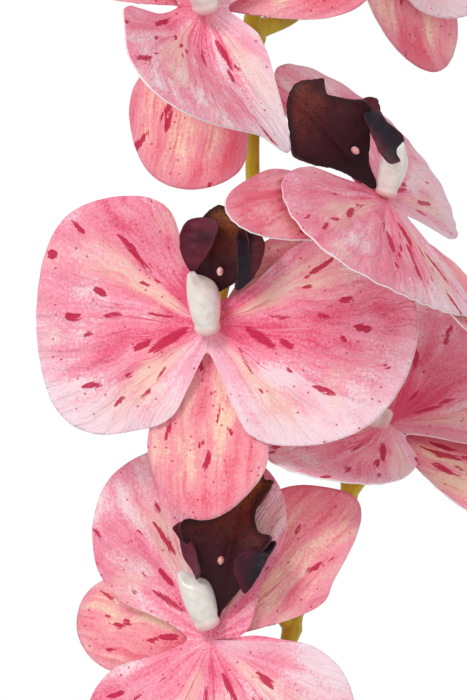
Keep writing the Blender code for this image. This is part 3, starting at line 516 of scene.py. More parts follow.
def put_mesh(name, points, faces, finishes, which=None, facts=None):
    """A new piece with points in mm, one finish number per face, and its pattern coordinates."""
    mesh = bpy.data.meshes.new(name)
    mesh.from_pydata((np.asarray(points, float) * MM).tolist(), [], faces)
    for finish in finishes:
        mesh.materials.append(finish)
    if which is not None:
        mesh.polygons.foreach_set("material_index", np.asarray(which, np.int32))
    mesh.polygons.foreach_set("use_smooth", [True] * len(mesh.polygons))
    for key, values in (facts or {}).items():
        values = np.asarray(values, np.float32)
        kind = "FLOAT_VECTOR" if values.ndim == 2 else "FLOAT"
        layer = mesh.attributes.new(key, kind, "POINT")
        layer.data.foreach_set("vector" if values.ndim == 2 else "value", values.ravel())
    mesh.update()
    obj = bpy.data.objects.new(name, mesh)
    bpy.context.scene.collection.objects.link(obj)
    return obj


def face_normals(points, faces):
    """Average outward direction at each point of a sheet."""
    normals = np.zeros_like(points)
    for face in faces:
        a, b, c = points[face[0]], points[face[1]], points[face[2]]
        n = np.cross(b - a, c - a)
        for k in face:
            normals[k] += n
    return normals / np.maximum(np.linalg.norm(normals, axis=1), 1e-12)[:, None]


def fan_faces(n, rings):
    """Faces of nested outlines round a middle point."""
    faces = [(0, 1 + j, 1 + (j + 1) % n) for j in range(n)]
    for k in range(rings - 1):
        base = 1 + k * n
        faces += [(base + j, base + n + j, base + n + (j + 1) % n, base + (j + 1) % n) for j in range(n)]
    return faces


def thicken(points, faces, n, thickness):
    """Both sides and the cut edge of a sheet whose last n points are its rim."""
    count, normals = len(points), face_normals(points, faces)
    both = np.vstack([points + normals * thickness / 2, points - normals * thickness / 2])
    edge = count - n
    rim = [(edge + j, edge + count + j, edge + count + (j + 1) % n, edge + (j + 1) % n) for j in range(n)]
    back = [tuple(count + k for k in reversed(face)) for face in faces]
    which = [0] * (2 * len(faces)) + [1] * n
    return both, faces + back + rim, which


def mark_depth(xy, marks):
    """How far inside the nearest lens-shaped mark each point lies, in mm."""
    best = np.full(len(xy), -6.0)
    for x, y, length, width, direction in marks:
        uv = turn(xy - (x, y), -direction)
        u, v = np.abs(uv[:, 0]) / (length / 2), np.abs(uv[:, 1])
        inside = width / 2 * np.sqrt(np.clip(1 - u * u, 0, 1)) - v
        outside = -np.hypot(np.maximum(u - 1, 0) * length / 2, v)
        best = np.maximum(best, np.where(u < 1, inside, outside))
    return best


def rim_distance(xy, outline):
    """How far each point lies from the rim."""
    out = np.full(len(xy), 99.0)
    for start in range(0, len(outline), 2):
        out = np.minimum(out, np.hypot(*(xy - outline[start]).T))
    return out


def tube_faces(rows, sides):
    """Quads of a tube of rings."""
    return [(i * sides + j, i * sides + (j + 1) % sides, (i + 1) * sides + (j + 1) % sides, (i + 1) * sides + j)
            for i in range(rows - 1) for j in range(sides)]


def face_outward(obj, weld=False):
    """Turn every face of a closed piece outwards, its doubles welded first if asked."""
    work = bmesh.new()
    work.from_mesh(obj.data)
    if weld:
        bmesh.ops.remove_doubles(work, verts=work.verts, dist=1e-7)
    bmesh.ops.recalc_face_normals(work, faces=work.faces)
    work.to_mesh(obj.data)
    work.free()


# ------------------------------------------------------------------ bloom shapes
def spread(xy, k):
    """Open or close a lobe like a fan."""
    r, a = np.hypot(xy[:, 0], xy[:, 1]), np.arctan2(xy[:, 1], xy[:, 0]) * k
    return np.column_stack([r * np.cos(a), r * np.sin(a)])


def petal_outline(f):
    """Both petals of a bloom laid flat, joined at the waist."""
    right = np.array(PETAL) * f.get("right", (1, 1))
    left = spread(np.array(PETAL[::-1]) * f.get("left", (1, 1)), f.get("left_spread", 1)) * (-1, 1)
    if "squeeze" in f:
        reach, way = np.hypot(*right.T), np.arctan2(right[:, 1], right[:, 0])
        low, high = f["squeeze"]
        way = way * (1 - (1 - np.where(way < 0, low, high)) * ease(reach, 8, 22 if low < 1 else 12))
        right = np.column_stack([reach * np.cos(way), reach * np.sin(way)])
    return np.vstack([[(0, -WAIST)], turn(right, f.get("right_turn", 0)), [(0, WAIST)],
                      turn(left, f.get("left_turn", 0))])


def sepal_outline(f):
    """The three sepals of a bloom laid flat."""
    turns, sizes = f.get("sepal_turns", (0, 0, 0)), f.get("sepal_sizes", (1, 1, 1))
    return np.vstack([turn(np.array(SEPAL) * sizes[k], angle + turns[k]) for k, angle in enumerate(SEPAL_WAYS)])


def sepal_number(xy):
    """Which of the three sepals each point belongs to."""
    return ((np.degrees(np.arctan2(xy[:, 1], xy[:, 0])) + 150) % 360 // 120).astype(int)


def arc(d, degrees, full):
    """Where a distance along a sheet ends up, along and up, once the sheet is bent."""
    if abs(degrees) < 0.5:
        return d, d * 0
    k, end, e = math.radians(degrees) / full, math.radians(degrees), np.minimum(d, full)
    rest = d - e
    return np.sin(k * e) / k + rest * math.cos(end), (1 - np.cos(k * e)) / k + rest * math.sin(end)


def ease(value, low, high):
    """Smooth rise from nothing to one."""
    t = np.clip((value - low) / (high - low), 0, 1)
    return t * t * (3 - 2 * t)


def petal_shape(xy, f, phase):
    """Bends, a soft groove down each petal, fine ridges and a faint wave at the margin."""
    out, z = xy.copy(), -f.get("droop", 3.0) * (xy[:, 1] / 32) ** 2
    r, a = np.hypot(xy[:, 0], xy[:, 1]), np.arctan2(xy[:, 1], np.abs(xy[:, 0]))
    z = z - 0.7 * np.exp(-(xy[:, 1] / 2.6) ** 2) * ease(r, 4, 10) * ease(-r, -40, -14)
    z = z + 0.55 * np.exp(-((xy[:, 1] + 0.62 * np.abs(xy[:, 0])) / 2.4) ** 2) * ease(r, 5, 12) * ease(-r, -38, -16)
    z = z + 0.16 * np.sin(a * 46 + 1.4 * np.sin(a * 7 + phase)) * ease(r, 20, 38)
    z = z + 0.55 * np.sin(a * 5 + phase) * ease(r, 26, 52)
    for degrees, toward, full in f.get("bends", ((12, 0, PETAL_BEND_LENGTH), (12, 180, PETAL_BEND_LENGTH))):
        u = np.array([math.cos(math.radians(toward)), math.sin(math.radians(toward))])
        d = np.maximum(xy @ u, 0)
        along, up = arc(d, degrees, full)
        out, z = out + np.outer(along - d, u), z + up
    return np.column_stack([turn(out, f.get("petal_roll", 0)), z])


def sepal_shape(xy, f, phase):
    """Each sepal arched back, with a keel down its middle and fine ribs."""
    r, which, out = np.hypot(xy[:, 0], xy[:, 1]), sepal_number(xy), np.zeros((len(xy), 3))
    for k, bend in enumerate(f.get("sepal_bends", (-10, -10, -10))):
        along, up = arc(r, bend, SEPAL_BEND_LENGTH)
        m, share = which == k, along / np.maximum(r, 1e-9)
        axis = math.radians(SEPAL_WAYS[k] + f.get("sepal_turns", (0, 0, 0))[k])
        v = -xy[:, 0] * math.sin(axis) + xy[:, 1] * math.cos(axis)
        lift = 0.5 * (v / 14) ** 2 * ease(r, 12, 30)
        lift = lift - 0.45 * np.exp(-(v / 2.0) ** 2) * ease(r, 6, 14) * ease(-r, -50, -30)
        lift = lift + 0.09 * np.sin(v * 2.4 + phase) * ease(r, 14, 30)
        out[m] = np.column_stack([xy[m] * share[m, None], (up + lift)[m] - SEPALS_BACK])
    return np.column_stack([turn(out[:, :2], f.get("sepal_roll", 0)), out[:, 2]])


def bloom_axes(f):
    """A bloom's own directions: across, towards its lip, and the way it faces."""
    yaw, pitch, roll = (math.radians(f[k]) for k in ("yaw", "pitch", "roll"))
    facing = np.array([math.sin(yaw) * math.cos(pitch), -math.cos(yaw) * math.cos(pitch), math.sin(pitch)])
    up = np.array([math.cos(roll), 0, math.sin(roll)])
    up = up - facing * (up @ facing)
    up /= np.linalg.norm(up)
    return np.array([np.cross(up, facing), up, facing])


def random_marks(rng, kind, count):
    """Marks strewn over one petal or sepal, long along its veins."""
    marks = []
    for _ in range(count):
        if kind == "petal":
            angle, reach = rng.uniform(-62, 62), rng.uniform(15, 46)
        else:
            angle, reach = rng.uniform(-15, 15), rng.uniform(13, 46)
        length = rng.choice((1.6, 2.2, 2.6, 3.0, 3.6, 4.2, 5.2, 6.5, 10.0)) * rng.uniform(0.85, 1.15)
        width = min(max(length * rng.uniform(0.18, 0.38), 0.6), 1.7)
        marks.append((reach * math.cos(math.radians(angle)), reach * math.sin(math.radians(angle)), length, width,
                      angle + rng.uniform(-14, 14)))
    if kind == "petal":
        marks += [(12.5, -5.6, 9.5, 1.8, -30), (18.5, -7.2, 4.8, 1.5, -26), (15.5, 1.0, 7.0, 0.9, 2)]
    else:
        marks += [(12.0, 0.8, 5.0, 1.2, 8)]
    return marks


def nested(outline, rings):
    """Rows of ever larger outlines, closer together towards the rim."""
    shares = (np.arange(1, rings + 1) / rings) ** 0.85
    return np.vstack([[(0.0, 0.0)]] + [outline * s for s in shares])


def seen(points):
    """Where points lie as seen from the front, at the depth of the middle bloom."""
    share = -EYE[1] / (points[:, 1] - EYE[1])
    return np.column_stack([EYE[0] + (points[:, 0] - EYE[0]) * share, EYE[2] + (points[:, 2] - EYE[2]) * share])


FIT_PASSES, FIT_PACE, MOST_IN, MOST_OUT = 8, 0.5, 0.56, 1.20


def fit_edge(outline, shape, f, edge, lobe):
    """Draw one lobe's margin smoothly in or out to a line given in the front view.

    The line is read by its bearing round the hub. The neck keeps its shape, and so does the
    rim beyond the ends of the line."""
    hub = seen(np.array([f["hub"]]))[0]
    aim = np.array(edge) - hub
    way, reach = np.degrees(np.unwrap(np.arctan2(aim[:, 1], aim[:, 0]))), np.hypot(*aim.T)
    order, middle = np.argsort(way), (way.min() + way.max()) / 2
    total, window = np.ones(len(outline)), len(outline) // 30 | 1
    half = window // 2
    free = ease(np.hypot(*outline.T), 10, 20) * lobe
    for _ in range(FIT_PASSES):
        now = seen(shape(outline * total[:, None], f, 0.0) @ bloom_axes(f) + np.array(f["hub"])) - hub
        bearing = (np.degrees(np.arctan2(now[:, 1], now[:, 0])) - middle + 180) % 360 - 180 + middle
        share = np.interp(bearing, way[order], reach[order]) / np.maximum(np.hypot(*now.T), 1.0)
        hold = free * ease(np.minimum(bearing - way.min(), way.max() - bearing), -2, 8)
        total = np.clip(total * (1 + FIT_PACE * hold * (share - 1)), MOST_IN, MOST_OUT)
        pad = np.r_[total[-half:], total, total[:half]]
        total = np.convolve(pad, np.ones(window) / window, "valid")
    return outline * total[:, None]


def bloom_sheet(key, kind, f, n, rings, rng):
    """The petal sheet or the sepal sheet of one bloom."""
    outline = smooth_line((petal_outline if kind == "petals" else sepal_outline)(f), n, closed=True)
    if kind == "petals":
        for side, lobe in (("left_edge", outline[:, 0] < -2), ("right_edge", outline[:, 0] > 2)):
            if side in f:
                outline = fit_edge(outline, petal_shape, f, f[side], lobe)
    else:
        which = sepal_number(outline)
        for k in range(3):
            if f"sepal_edge_{k}" in f:
                outline = fit_edge(outline, sepal_shape, f, f[f"sepal_edge_{k}"], which == k)
    xy, seed = nested(outline, rings), rng.uniform(0, 40)
    r, angle = np.hypot(xy[:, 0], xy[:, 1]), np.degrees(np.arctan2(xy[:, 1], xy[:, 0]))
    if kind == "petals":
        right = xy[:, 0] >= 0
        if key == "m":
            marks = PETAL_MARKS_M
        else:
            marks = random_marks(rng, "petal", PETAL_MARKS_EACH)
            marks += [(-x, y, length, width, 180 - way)
                      for x, y, length, width, way in random_marks(rng, "petal", PETAL_MARKS_EACH)]
        bearing = np.where(right, angle - f.get("right_turn", 0),
                           (180 - angle + 180) % 360 - 180 + f.get("left_turn", 0))
        if f.get("squeeze", (1, 1))[0] < 1:
            bearing = np.where(right, np.abs(bearing) * 1.2, bearing)
        vein = np.column_stack([bearing, r, seed + np.where(right, 0.0, 5.0)])
        shape, skin = petal_shape(xy, f, seed), PETAL_SKINS.get(key, PETAL_SKIN)
    else:
        which, turns = sepal_number(xy), f.get("sepal_turns", (0, 0, 0))
        axis = (np.array(SEPAL_WAYS, float) + turns)[which]
        c, s = np.cos(np.radians(axis)), np.sin(np.radians(axis))
        vein = np.column_stack([xy[:, 0] * c + xy[:, 1] * s, -xy[:, 0] * s + xy[:, 1] * c, seed + which * 6.0])
        marks = list(SEPAL_MARKS_M) if key == "m" else []
        for k in range(3):
            if key == "m" and k == 0:
                continue
            way = SEPAL_WAYS[k] + turns[k]
            for x, y, length, width, tilt in random_marks(rng, "sepal", SEPAL_MARKS_EACH):
                px, py = turn(np.array([[x, y]]), way)[0]
                marks.append((px, py, length, width, way + tilt))
        shape, skin = sepal_shape(xy, f, seed), SEPAL_SKIN
    depth, rim = mark_depth(xy, marks), rim_distance(xy, outline)
    points = shape @ bloom_axes(f) + np.array(f["hub"])
    points, faces, which = thicken(points, fan_faces(n, rings), n, SHEET)
    if key == "d" and kind == "petals":  # its left petal is paler than its right
        which = [2 if w == 0 and xy[face[-1] % len(xy), 0] < 0 else w for w, face in zip(which, faces)]
    flat = np.column_stack([xy, np.full(len(xy), seed)])
    facts = {"vein": np.vstack([vein] * 2), "flat": np.vstack([flat] * 2), "mark": np.r_[depth, depth],
             "rim": np.r_[rim, rim]}
    obj = put_mesh(f"{kind}_{key}_skin", points, faces, [skin, CUT_EDGE, PETAL_SOFT], which, facts)
    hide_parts(f"{kind}_{key}")
    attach(obj, "root")
    return obj


def grid_faces(rows, cols):
    """Quads of a grid of points."""
    return [(r * cols + c, r * cols + c + 1, (r + 1) * cols + c + 1, (r + 1) * cols + c)
            for r in range(rows - 1) for c in range(cols - 1)]


# ------------------------------------------------------------------ lip
def join_parts(parts):
    """Several closed parts as one mesh."""
    points, faces, which, base = [], [], [], 0
    for p, fa, w in parts:
        points.append(p)
        faces += [tuple(base + k for k in face) for face in fa]
        which += list(w)
        base += len(p)
    return np.vstack(points), faces, which


def ball(middle, radii, rows=8, cols=12):
    """A small closed ovoid."""
    points, faces = [(middle[0], middle[1], middle[2] + radii[2])], []
    for i in range(1, rows):
        a = math.pi * i / rows
        points += [(middle[0] + radii[0] * math.sin(a) * math.cos(b), middle[1] + radii[1] * math.sin(a) * math.sin(b),
                    middle[2] + radii[2] * math.cos(a)) for b in np.arange(cols) * 2 * math.pi / cols]
    points.append((middle[0], middle[1], middle[2] - radii[2]))
    last = len(points) - 1
    for j in range(cols):
        faces.append((0, 1 + j, 1 + (j + 1) % cols))
        faces.append((last, last - cols + (j + 1) % cols, last - cols + j))
        for i in range(rows - 2):
            a, b = 1 + i * cols + j, 1 + i * cols + (j + 1) % cols
            faces.append((a, a + cols, b + cols, b))
    return np.array(points, float), faces, [0] * len(faces)


def wing_part(outline, number):
    """A side lobe: a small bowed sheet that stands in front of the blade."""
    n, rings = WING_MESH
    line = smooth_line(outline, n, closed=True)
    if np.sum(line[:, 0] * np.roll(line[:, 1], -1) - line[:, 1] * np.roll(line[:, 0], -1)) < 0:
        line = line[::-1]
    middle = line.mean(axis=0)
    xy = nested(line - middle, rings) + middle
    low, high = line[:, 1].min(), line[:, 1].max()
    t = (xy[:, 1] - low) / (high - low)
    side = 1.0 if middle[0] > 0 else -1.0
    z = 5.5 + 6.0 * np.sin(math.pi * np.clip(t * 0.75 + 0.08, 0, 1)) + 0.10 * (xy[:, 0] - middle[0]) ** 2
    z = z - side * 0.35 * (xy[:, 0] - middle[0]) + 0.25 * np.sin(xy[:, 1] * 1.7 + number)
    return xy, thicken(np.column_stack([xy, z]), fan_faces(n, rings), n, WING_SHEET)


def lip_piece(key, f, rng):
    """A bowed blade with a torn margin, its side lobes and a callus."""
    n, rings = LIP_MESH
    middle = np.array([0.0, 22.0])
    outline = smooth_line(f.get("blade", LIP_BLADE), n, closed=True)
    ragged = np.array([rng.uniform(-0.12, 0.12) for _ in range(n)])
    ragged = (ragged + np.roll(ragged, 1)) / 1.4
    outline = middle + (outline - middle) * (1 + ragged[:, None] / 14)
    xy = nested(outline - middle, rings) + middle
    x, y = xy[:, 0], xy[:, 1]
    seed = rng.uniform(0, 30)
    z = 2.0 + 7.0 * np.sin(np.clip((y - 6) / 40, 0, 1) * math.pi * 0.86) + 0.022 * x ** 2
    z = z - 0.9 * np.exp(-(x / 1.5) ** 2) * ease(y, 10, 20) + 0.35 * np.sin(y * 0.9 + seed) * (np.abs(x) / 10) ** 1.5
    z = z + 1.6 * ease(np.abs(x), 8, 14) + 1.0 * ease(y, 42, 46)
    full, short = 47, 35
    toned = y * (full / y.max() if y.max() < short else 1)  # a short blade still runs through every tone
    parts = [thicken(np.column_stack([x, y, z]), fan_faces(n, rings), n, LIP_SHEET)]
    flats = [np.vstack([np.column_stack([x, toned, np.full(len(x), seed)])] * 2)]
    for number, wing in enumerate(f.get("wings", (WING, [(-a, b) for a, b in WING[::-1]]))):
        flat, (p, fa, w) = wing_part(wing, number)
        parts.append((p, fa, [2 if k == 0 else 1 for k in w]))
        flats.append(np.vstack([np.column_stack([flat, np.full(len(flat), seed + 9)])] * 2))
    cx, cy = f.get("callus", (0.6, 16.0))
    p, fa, w = ball((cx, cy, 7.9), (0.9, 1.2, 1.3))
    parts.append((p, fa, [3] * len(fa)))
    flats.append(np.column_stack([p[:, :2], np.full(len(p), seed)]))
    points, faces, which = join_parts(parts)
    rim = np.full(len(points), 9.0)
    rim[:2 * len(xy)] = np.r_[rim_distance(xy, outline), rim_distance(xy, outline)]
    tilt, size = math.radians(f.get("lip_tilt", 0)), f.get("lip_size", 1.0)
    across, up, facing = bloom_axes(f)
    axes = np.array([across * math.cos(tilt) + facing * math.sin(tilt), up,
                     facing * math.cos(tilt) - across * math.sin(tilt)])
    obj = put_mesh(f"lip_{key}_skin", points * size @ axes + np.array(f["hub"]), faces,
                   [LIP_SKIN, LIP_EDGE, WING_SKIN, CALLUS], which, {"flat": np.vstack(flats), "rim": rim})
    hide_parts(f"lip_{key}")
    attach(obj, "root")
    return obj


# ------------------------------------------------------------------ column
COLUMN_RINGS = [(0.0, 2.4, 2.4), (0.6, 3.2, 3.0), (1.6, 3.5, 3.2), (2.6, 3.3, 3.1), (4.0, 3.7, 3.5), (6.5, 4.1, 3.9),
                (9.0, 4.3, 4.1), (11.5, 4.2, 4.0), (13.2, 3.9, 3.6), (14.2, 3.1, 2.8), (14.6, 1.6, 1.4)]
COLUMN_SIDES, COLUMN_STEPS = 36, 40


def column_finish():
    """Waxy white, flushed pink at the foot."""
    f = Finish("column_wax", rough=0.28, Specular_IOR_Level=0.5, Coat_Weight=0.25, Coat_Roughness=0.15)
    where = f.lookup("flat")["Vector"]
    z = f.split(where)[2]
    colour = f.blend(f.step(f.grain(where, 0.35, 3.0), 0.35, 0.68), dye(238, 234, 228), dye(224, 216, 208))
    colour = f.blend(f.times(f.step(z, 3.0, 1.0), 0.75), colour, dye(232, 176, 176))
    colour = f.blend(f.times(f.step(f.grain(where, 0.9, 2.0), 0.66, 0.74), 0.25), colour, dye(214, 168, 160))
    f.paint(colour)
    f.emboss(f.grain(where, 0.8, 2.0), 0.12, 0.0005)
    return f.material


COLUMN_SKIN = column_finish()


def column_piece(key, f):
    """A blunt column with a slanted cap, a crease and a small beak."""
    sides, rows = COLUMN_SIDES, smooth_line(COLUMN_RINGS, COLUMN_STEPS)
    aim = np.array(f.get("column_aim", (-0.07, 0.90, 0.42)), float)
    aim /= np.linalg.norm(aim)
    front = np.array([0, -aim[2], aim[1]])
    front = front - aim * (front @ aim)
    front /= np.linalg.norm(front)
    across = np.cross(front, aim)
    foot, size = np.array(f.get("column_foot", (0.4, -1.8, 3.4))), f.get("column_size", 1.0)
    points, flat = [], []
    for s, wide, deep in rows:
        for b in np.arange(sides) * 2 * math.pi / sides:
            c, d = math.cos(b), math.sin(b)
            k = (abs(c) ** 2.6 + abs(d) ** 2.6) ** (-1 / 2.6)
            u, v = wide * c * k, deep * d * k
            u *= 1 - 0.16 * max(d, 0)
            rise = s + 0.42 * u * ease(s, 8, 14) - 0.22 * v * ease(s, 9, 14)
            beak = 2.4 * math.exp(-((b - 0.55) / 0.30) ** 2) * float(ease(s, 12.2, 14.2))
            p = foot + (aim * (rise + beak) + across * u + front * v) * size
            points.append(p)
            flat.append((u, v, s))
    faces = tube_faces(len(rows), sides)
    for ring, order in ((0, -1), (len(rows) - 1, 1)):
        ids = list(range(ring * sides, ring * sides + sides))[::order]
        points.append(np.mean([points[k] for k in ids], axis=0))
        flat.append((0, 0, rows[ring][0]))
        faces += [(ids[k], ids[(k + 1) % sides], len(points) - 1) for k in range(sides)]
    obj = put_mesh(f"column_{key}_skin", np.array(points) @ bloom_axes(f) + np.array(f["hub"]), faces, [COLUMN_SKIN],
                   None, {"flat": np.array(flat)})
    face_outward(obj)
    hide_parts(f"column_{key}")
    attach(obj, "root")
    return obj


# ------------------------------------------------------------------ stems, swept by geometry nodes
def socket(tree, way, name, kind, value=None):
    """A named input or output of a tree."""
    made = tree.interface.new_socket(name=name, in_out=way, socket_type=kind)
    if value is not None:
        made.default_value = value
    return made


def sweep_tree():
    """Round skin along a line of points that carry their own radius."""
    tree = bpy.data.node_groups.new("swept_stem", "GeometryNodeTree")
    socket(tree, "INPUT", "Line", "NodeSocketGeometry")
    socket(tree, "INPUT", "Sides", "NodeSocketInt", 20)
    socket(tree, "INPUT", "Skin", "NodeSocketMaterial")
    socket(tree, "OUTPUT", "Stem", "NodeSocketGeometry")
    new, link = tree.nodes.new, tree.links.new
    given, out = new("NodeGroupInput"), new("NodeGroupOutput")
    curve, radius = new("GeometryNodeMeshToCurve"), new("GeometryNodeSetCurveRadius")
    named, circle = new("GeometryNodeInputNamedAttribute"), new("GeometryNodeCurvePrimitiveCircle")
    sweep, shade = new("GeometryNodeCurveToMesh"), new("GeometryNodeSetShadeSmooth")
    real, paint = new("GeometryNodeRealizeInstances"), new("GeometryNodeSetMaterial")
    named.data_type = "FLOAT"
    named.inputs["Name"].default_value = "thick"
    circle.inputs["Radius"].default_value = 1.0
    sweep.inputs["Fill Caps"].default_value = True
    link(given.outputs["Line"], curve.inputs["Mesh"])
    link(curve.outputs["Curve"], radius.inputs["Curve"])
    link(named.outputs["Attribute"], radius.inputs["Radius"])
    link(given.outputs["Sides"], circle.inputs["Resolution"])
    link(radius.outputs["Curve"], sweep.inputs["Curve"])
    link(circle.outputs["Curve"], sweep.inputs["Profile Curve"])
    if "Scale" in sweep.inputs:
        link(named.outputs["Attribute"], sweep.inputs["Scale"])
    link(sweep.outputs["Mesh"], shade.inputs["Geometry"])
    link(shade.outputs["Geometry"], real.inputs["Geometry"])
    link(real.outputs["Geometry"], paint.inputs["Geometry"])
    link(given.outputs["Skin"], paint.inputs["Material"])
    link(paint.outputs["Geometry"], out.inputs["Stem"])
    return tree


SWEEP = sweep_tree()


def set_input(modifier, name, value):
    """Set a tree's named input on a modifier, by the socket's identifier."""
    for item in modifier.node_group.interface.items_tree:
        if item.item_type == "SOCKET" and item.in_out == "INPUT" and item.name == name:
            modifier[item.identifier] = value


def bake_nodes(obj):
    """The evaluated result of a node tree as a plain mesh on its own object."""
    graph = bpy.context.evaluated_depsgraph_get()
    mesh = bpy.data.meshes.new_from_object(obj.evaluated_get(graph), depsgraph=graph)
    mesh.name = obj.name
    obj.modifiers.clear()
    obj.data = mesh
    return obj


def stem_piece(name, rows, finish, node, sides=20):
    """A tube through rows of x, y, z, radius in mm, made by the sweep tree."""
    rows = np.array(rows, float)
    mesh = bpy.data.meshes.new(name)
    mesh.from_pydata((rows[:, :3] * MM).tolist(), [(k, k + 1) for k in range(len(rows) - 1)], [])
    mesh.attributes.new("thick", "FLOAT", "POINT").data.foreach_set("value", (rows[:, 3] * MM).astype(np.float32))
    obj = bpy.data.objects.new(name, mesh)
    bpy.context.scene.collection.objects.link(obj)
    modifier = obj.modifiers.new("sweep", "NODES")
    modifier.node_group = SWEEP
    set_input(modifier, "Sides", sides)
    set_input(modifier, "Skin", finish)
    bake_nodes(obj)
    face_outward(obj, weld=True)
    obj.data.polygons.foreach_set("use_smooth", [True] * len(obj.data.polygons))
    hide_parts(node)
    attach(obj, "root")
    return obj


def swell(rows, places, height, width):
    """Thicken a stem smoothly at its joints."""
    rows = rows.copy()
    for place in places:
        d = np.linalg.norm(rows[:, :3] - np.array(place), axis=1)
        near = rows[np.argmin(d), :3]
        d = np.linalg.norm(rows[:, :3] - near, axis=1)
        rows[:, 3] *= 1 + height * np.exp(-(d / width) ** 2)
    return rows


spike_rows = smooth_line(SPIKE, SPIKE_STEPS)
joints = [f["node"] for f in BLOOMS.values()] + [bud[0] for bud in BUDS] + SPIKE_RINGS
stem_piece("spike_skin", swell(spike_rows, joints, 0.42, 3.2), STEM_SKIN, "spike", 24)


def pedicel_rows(f):
    """The line of a bloom's stalk, from behind its sepals to the spike."""
    axes, hub, node = bloom_axes(f), np.array(f["hub"]), np.array(f["node"])
    back = hub - axes[2] * (SEPALS_BACK - 0.3)
    way = [back - axes[2] * f.get("step", 6.0)] + [np.array(p, float) for p in f.get("stalk", [])]
    near = spike_rows[np.argmin(np.linalg.norm(spike_rows[:, :3] - node, axis=1))]
    rows = [(*back, 2.4), *((*p, 1.45) for p in way), (*near[:3], f.get("foot", 2.2))]
    return smooth_line(rows, PEDICEL_STEPS)


# ------------------------------------------------------------------ buds
# Share of the length, share of the radius.
BUD_PROFILE = [(0.0, 0.18), (0.22, 0.20), (0.32, 0.5), (0.44, 0.86), (0.58, 1.0), (0.74, 0.95), (0.88, 0.66),
               (0.96, 0.36), (1.0, 0.10)]
BUD_SIDES, BUD_STEPS = 36, 44


def bud_piece(k, foot, aim, length, radius):
    """An ovoid bud with three closed sepals and a short stalk."""
    aim = np.array(aim) / np.linalg.norm(aim)
    side = np.cross(aim, (0.3, 1.0, 0.2))
    side /= np.linalg.norm(side)
    other = np.cross(aim, side)
    sides, rows, points = BUD_SIDES, smooth_line(BUD_PROFILE, BUD_STEPS), []
    for t, r in rows:
        middle = np.array(foot) + aim * length * t
        for b in np.arange(sides) * 2 * math.pi / sides:
            off = ((b + 0.5) % (2 * math.pi / 3)) - math.pi / 3  # from the nearest of three seams
            seam = 1 - 0.055 * math.exp(-(off / 0.13) ** 2) * (t > 0.3)
            points.append(middle + radius * r * seam * (math.cos(b) * side + math.sin(b) * other))
    faces = tube_faces(len(rows), sides)
    faces += [tuple(range(sides))[::-1], tuple(range((len(rows) - 1) * sides, len(rows) * sides))]
    obj = put_mesh(f"bud_{k}_skin", points, faces, [BUD_SKIN])
    face_outward(obj)
    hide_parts(f"bud_{k}")
    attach(obj, "root")


# ------------------------------------------------------------------ leaves
LEAF_STATIONS, LEAF_HALF_COLS, CROWN_R = 90, 18, 11.0


def leaf_piece(k, azimuth, length, width, first, last, foot, finish):
    """A thick strap leaf with a channelled midrib, swept along an arch."""
    stations, half_cols = LEAF_STATIONS, LEAF_HALF_COLS
    a = math.radians(azimuth)
    out, side = np.array([math.cos(a), math.sin(a), 0]), np.array([-math.sin(a), math.cos(a), 0])
    at, step = out * CROWN_R + np.array([0, 0, foot]), length / (stations - 1)
    top, under, flat = [], [], []
    for i in range(stations):
        t = i / (stations - 1)
        slope = math.radians(first + (last - first) * t)
        ahead = out * math.cos(slope) + np.array([0, 0, math.sin(slope)])
        up = np.cross(ahead, side)
        up = up if up[2] > 0 else -up
        half = width / 2 * (0.30 + 0.70 * math.sin(min(t / 0.55, 1) * math.pi / 2)) * max(1 - t ** 5, 0.0) ** 0.55
        half, thick, keel = max(half, 0.4), 2.6 - 1.2 * t, 0.34 - 0.16 * t
        for j in range(-half_cols, half_cols + 1):
            u = j / half_cols
            groove = 0.9 * math.exp(-(u * half / 1.6) ** 2) * (1 - t)
            wave = 0.5 * math.sin(t * 9 + k * 2 + (1.5 if u > 0 else 0)) * u * u
            body = up * (abs(u) ** 1.25 * half * keel + wave)
            edge = math.sqrt(max(1 - u ** 4, 0.02)) * thick / 2
            top.append(at + side * u * half + body + up * (edge - groove))
            under.append(at + side * u * half + body - up * edge)
            flat.append((t * length, u * half))
        at = at + ahead * step
    cols, count = 2 * half_cols + 1, len(top)
    faces = grid_faces(stations, cols)
    back = [tuple(count + q for q in reversed(face)) for face in faces]
    loop = ([(0, c) for c in range(cols)] + [(r, cols - 1) for r in range(1, stations)]
            + [(stations - 1, c) for c in range(cols - 2, -1, -1)] + [(r, 0) for r in range(stations - 2, 0, -1)])
    ids = [r * cols + c for r, c in loop]
    rim = [(ids[(q + 1) % len(ids)], ids[q], ids[q] + count, ids[(q + 1) % len(ids)] + count) for q in range(len(ids))]
    flat = np.array(flat)
    facts = {"flat": np.vstack([np.column_stack([flat, np.zeros(count)]), np.column_stack([flat, np.ones(count)])])}
    obj = put_mesh(f"leaf_{k}_skin", np.vstack([top, under]), faces + back + rim, [finish], None, facts)
    face_outward(obj)
    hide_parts(f"leaf_{k}")
    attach(obj, "root")


# ------------------------------------------------------------------ pot and bark
def lathe(name, profile, sides, finishes, node):
    """A turned closed solid; the first and last profile points lie on the axis."""
    points, faces = [(0, 0, profile[0][1])], []
    inner = profile[1:-1]
    for r, z in inner:
        points += [(r * math.cos(b), r * math.sin(b), z) for b in np.arange(sides) * 2 * math.pi / sides]
    points.append((0, 0, profile[-1][1]))
    for j in range(sides):
        nxt = (j + 1) % sides
        faces.append((0, 1 + nxt, 1 + j))
        faces.append((len(points) - 1, len(points) - 1 - sides + j, len(points) - 1 - sides + nxt))
        faces += [(1 + i * sides + j, 1 + i * sides + nxt, 1 + (i + 1) * sides + nxt, 1 + (i + 1) * sides + j)
                  for i in range(len(inner) - 1)]
    obj = put_mesh(name, points, faces, finishes)
    face_outward(obj)
    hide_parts(node)
    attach(obj, "root")
    return obj


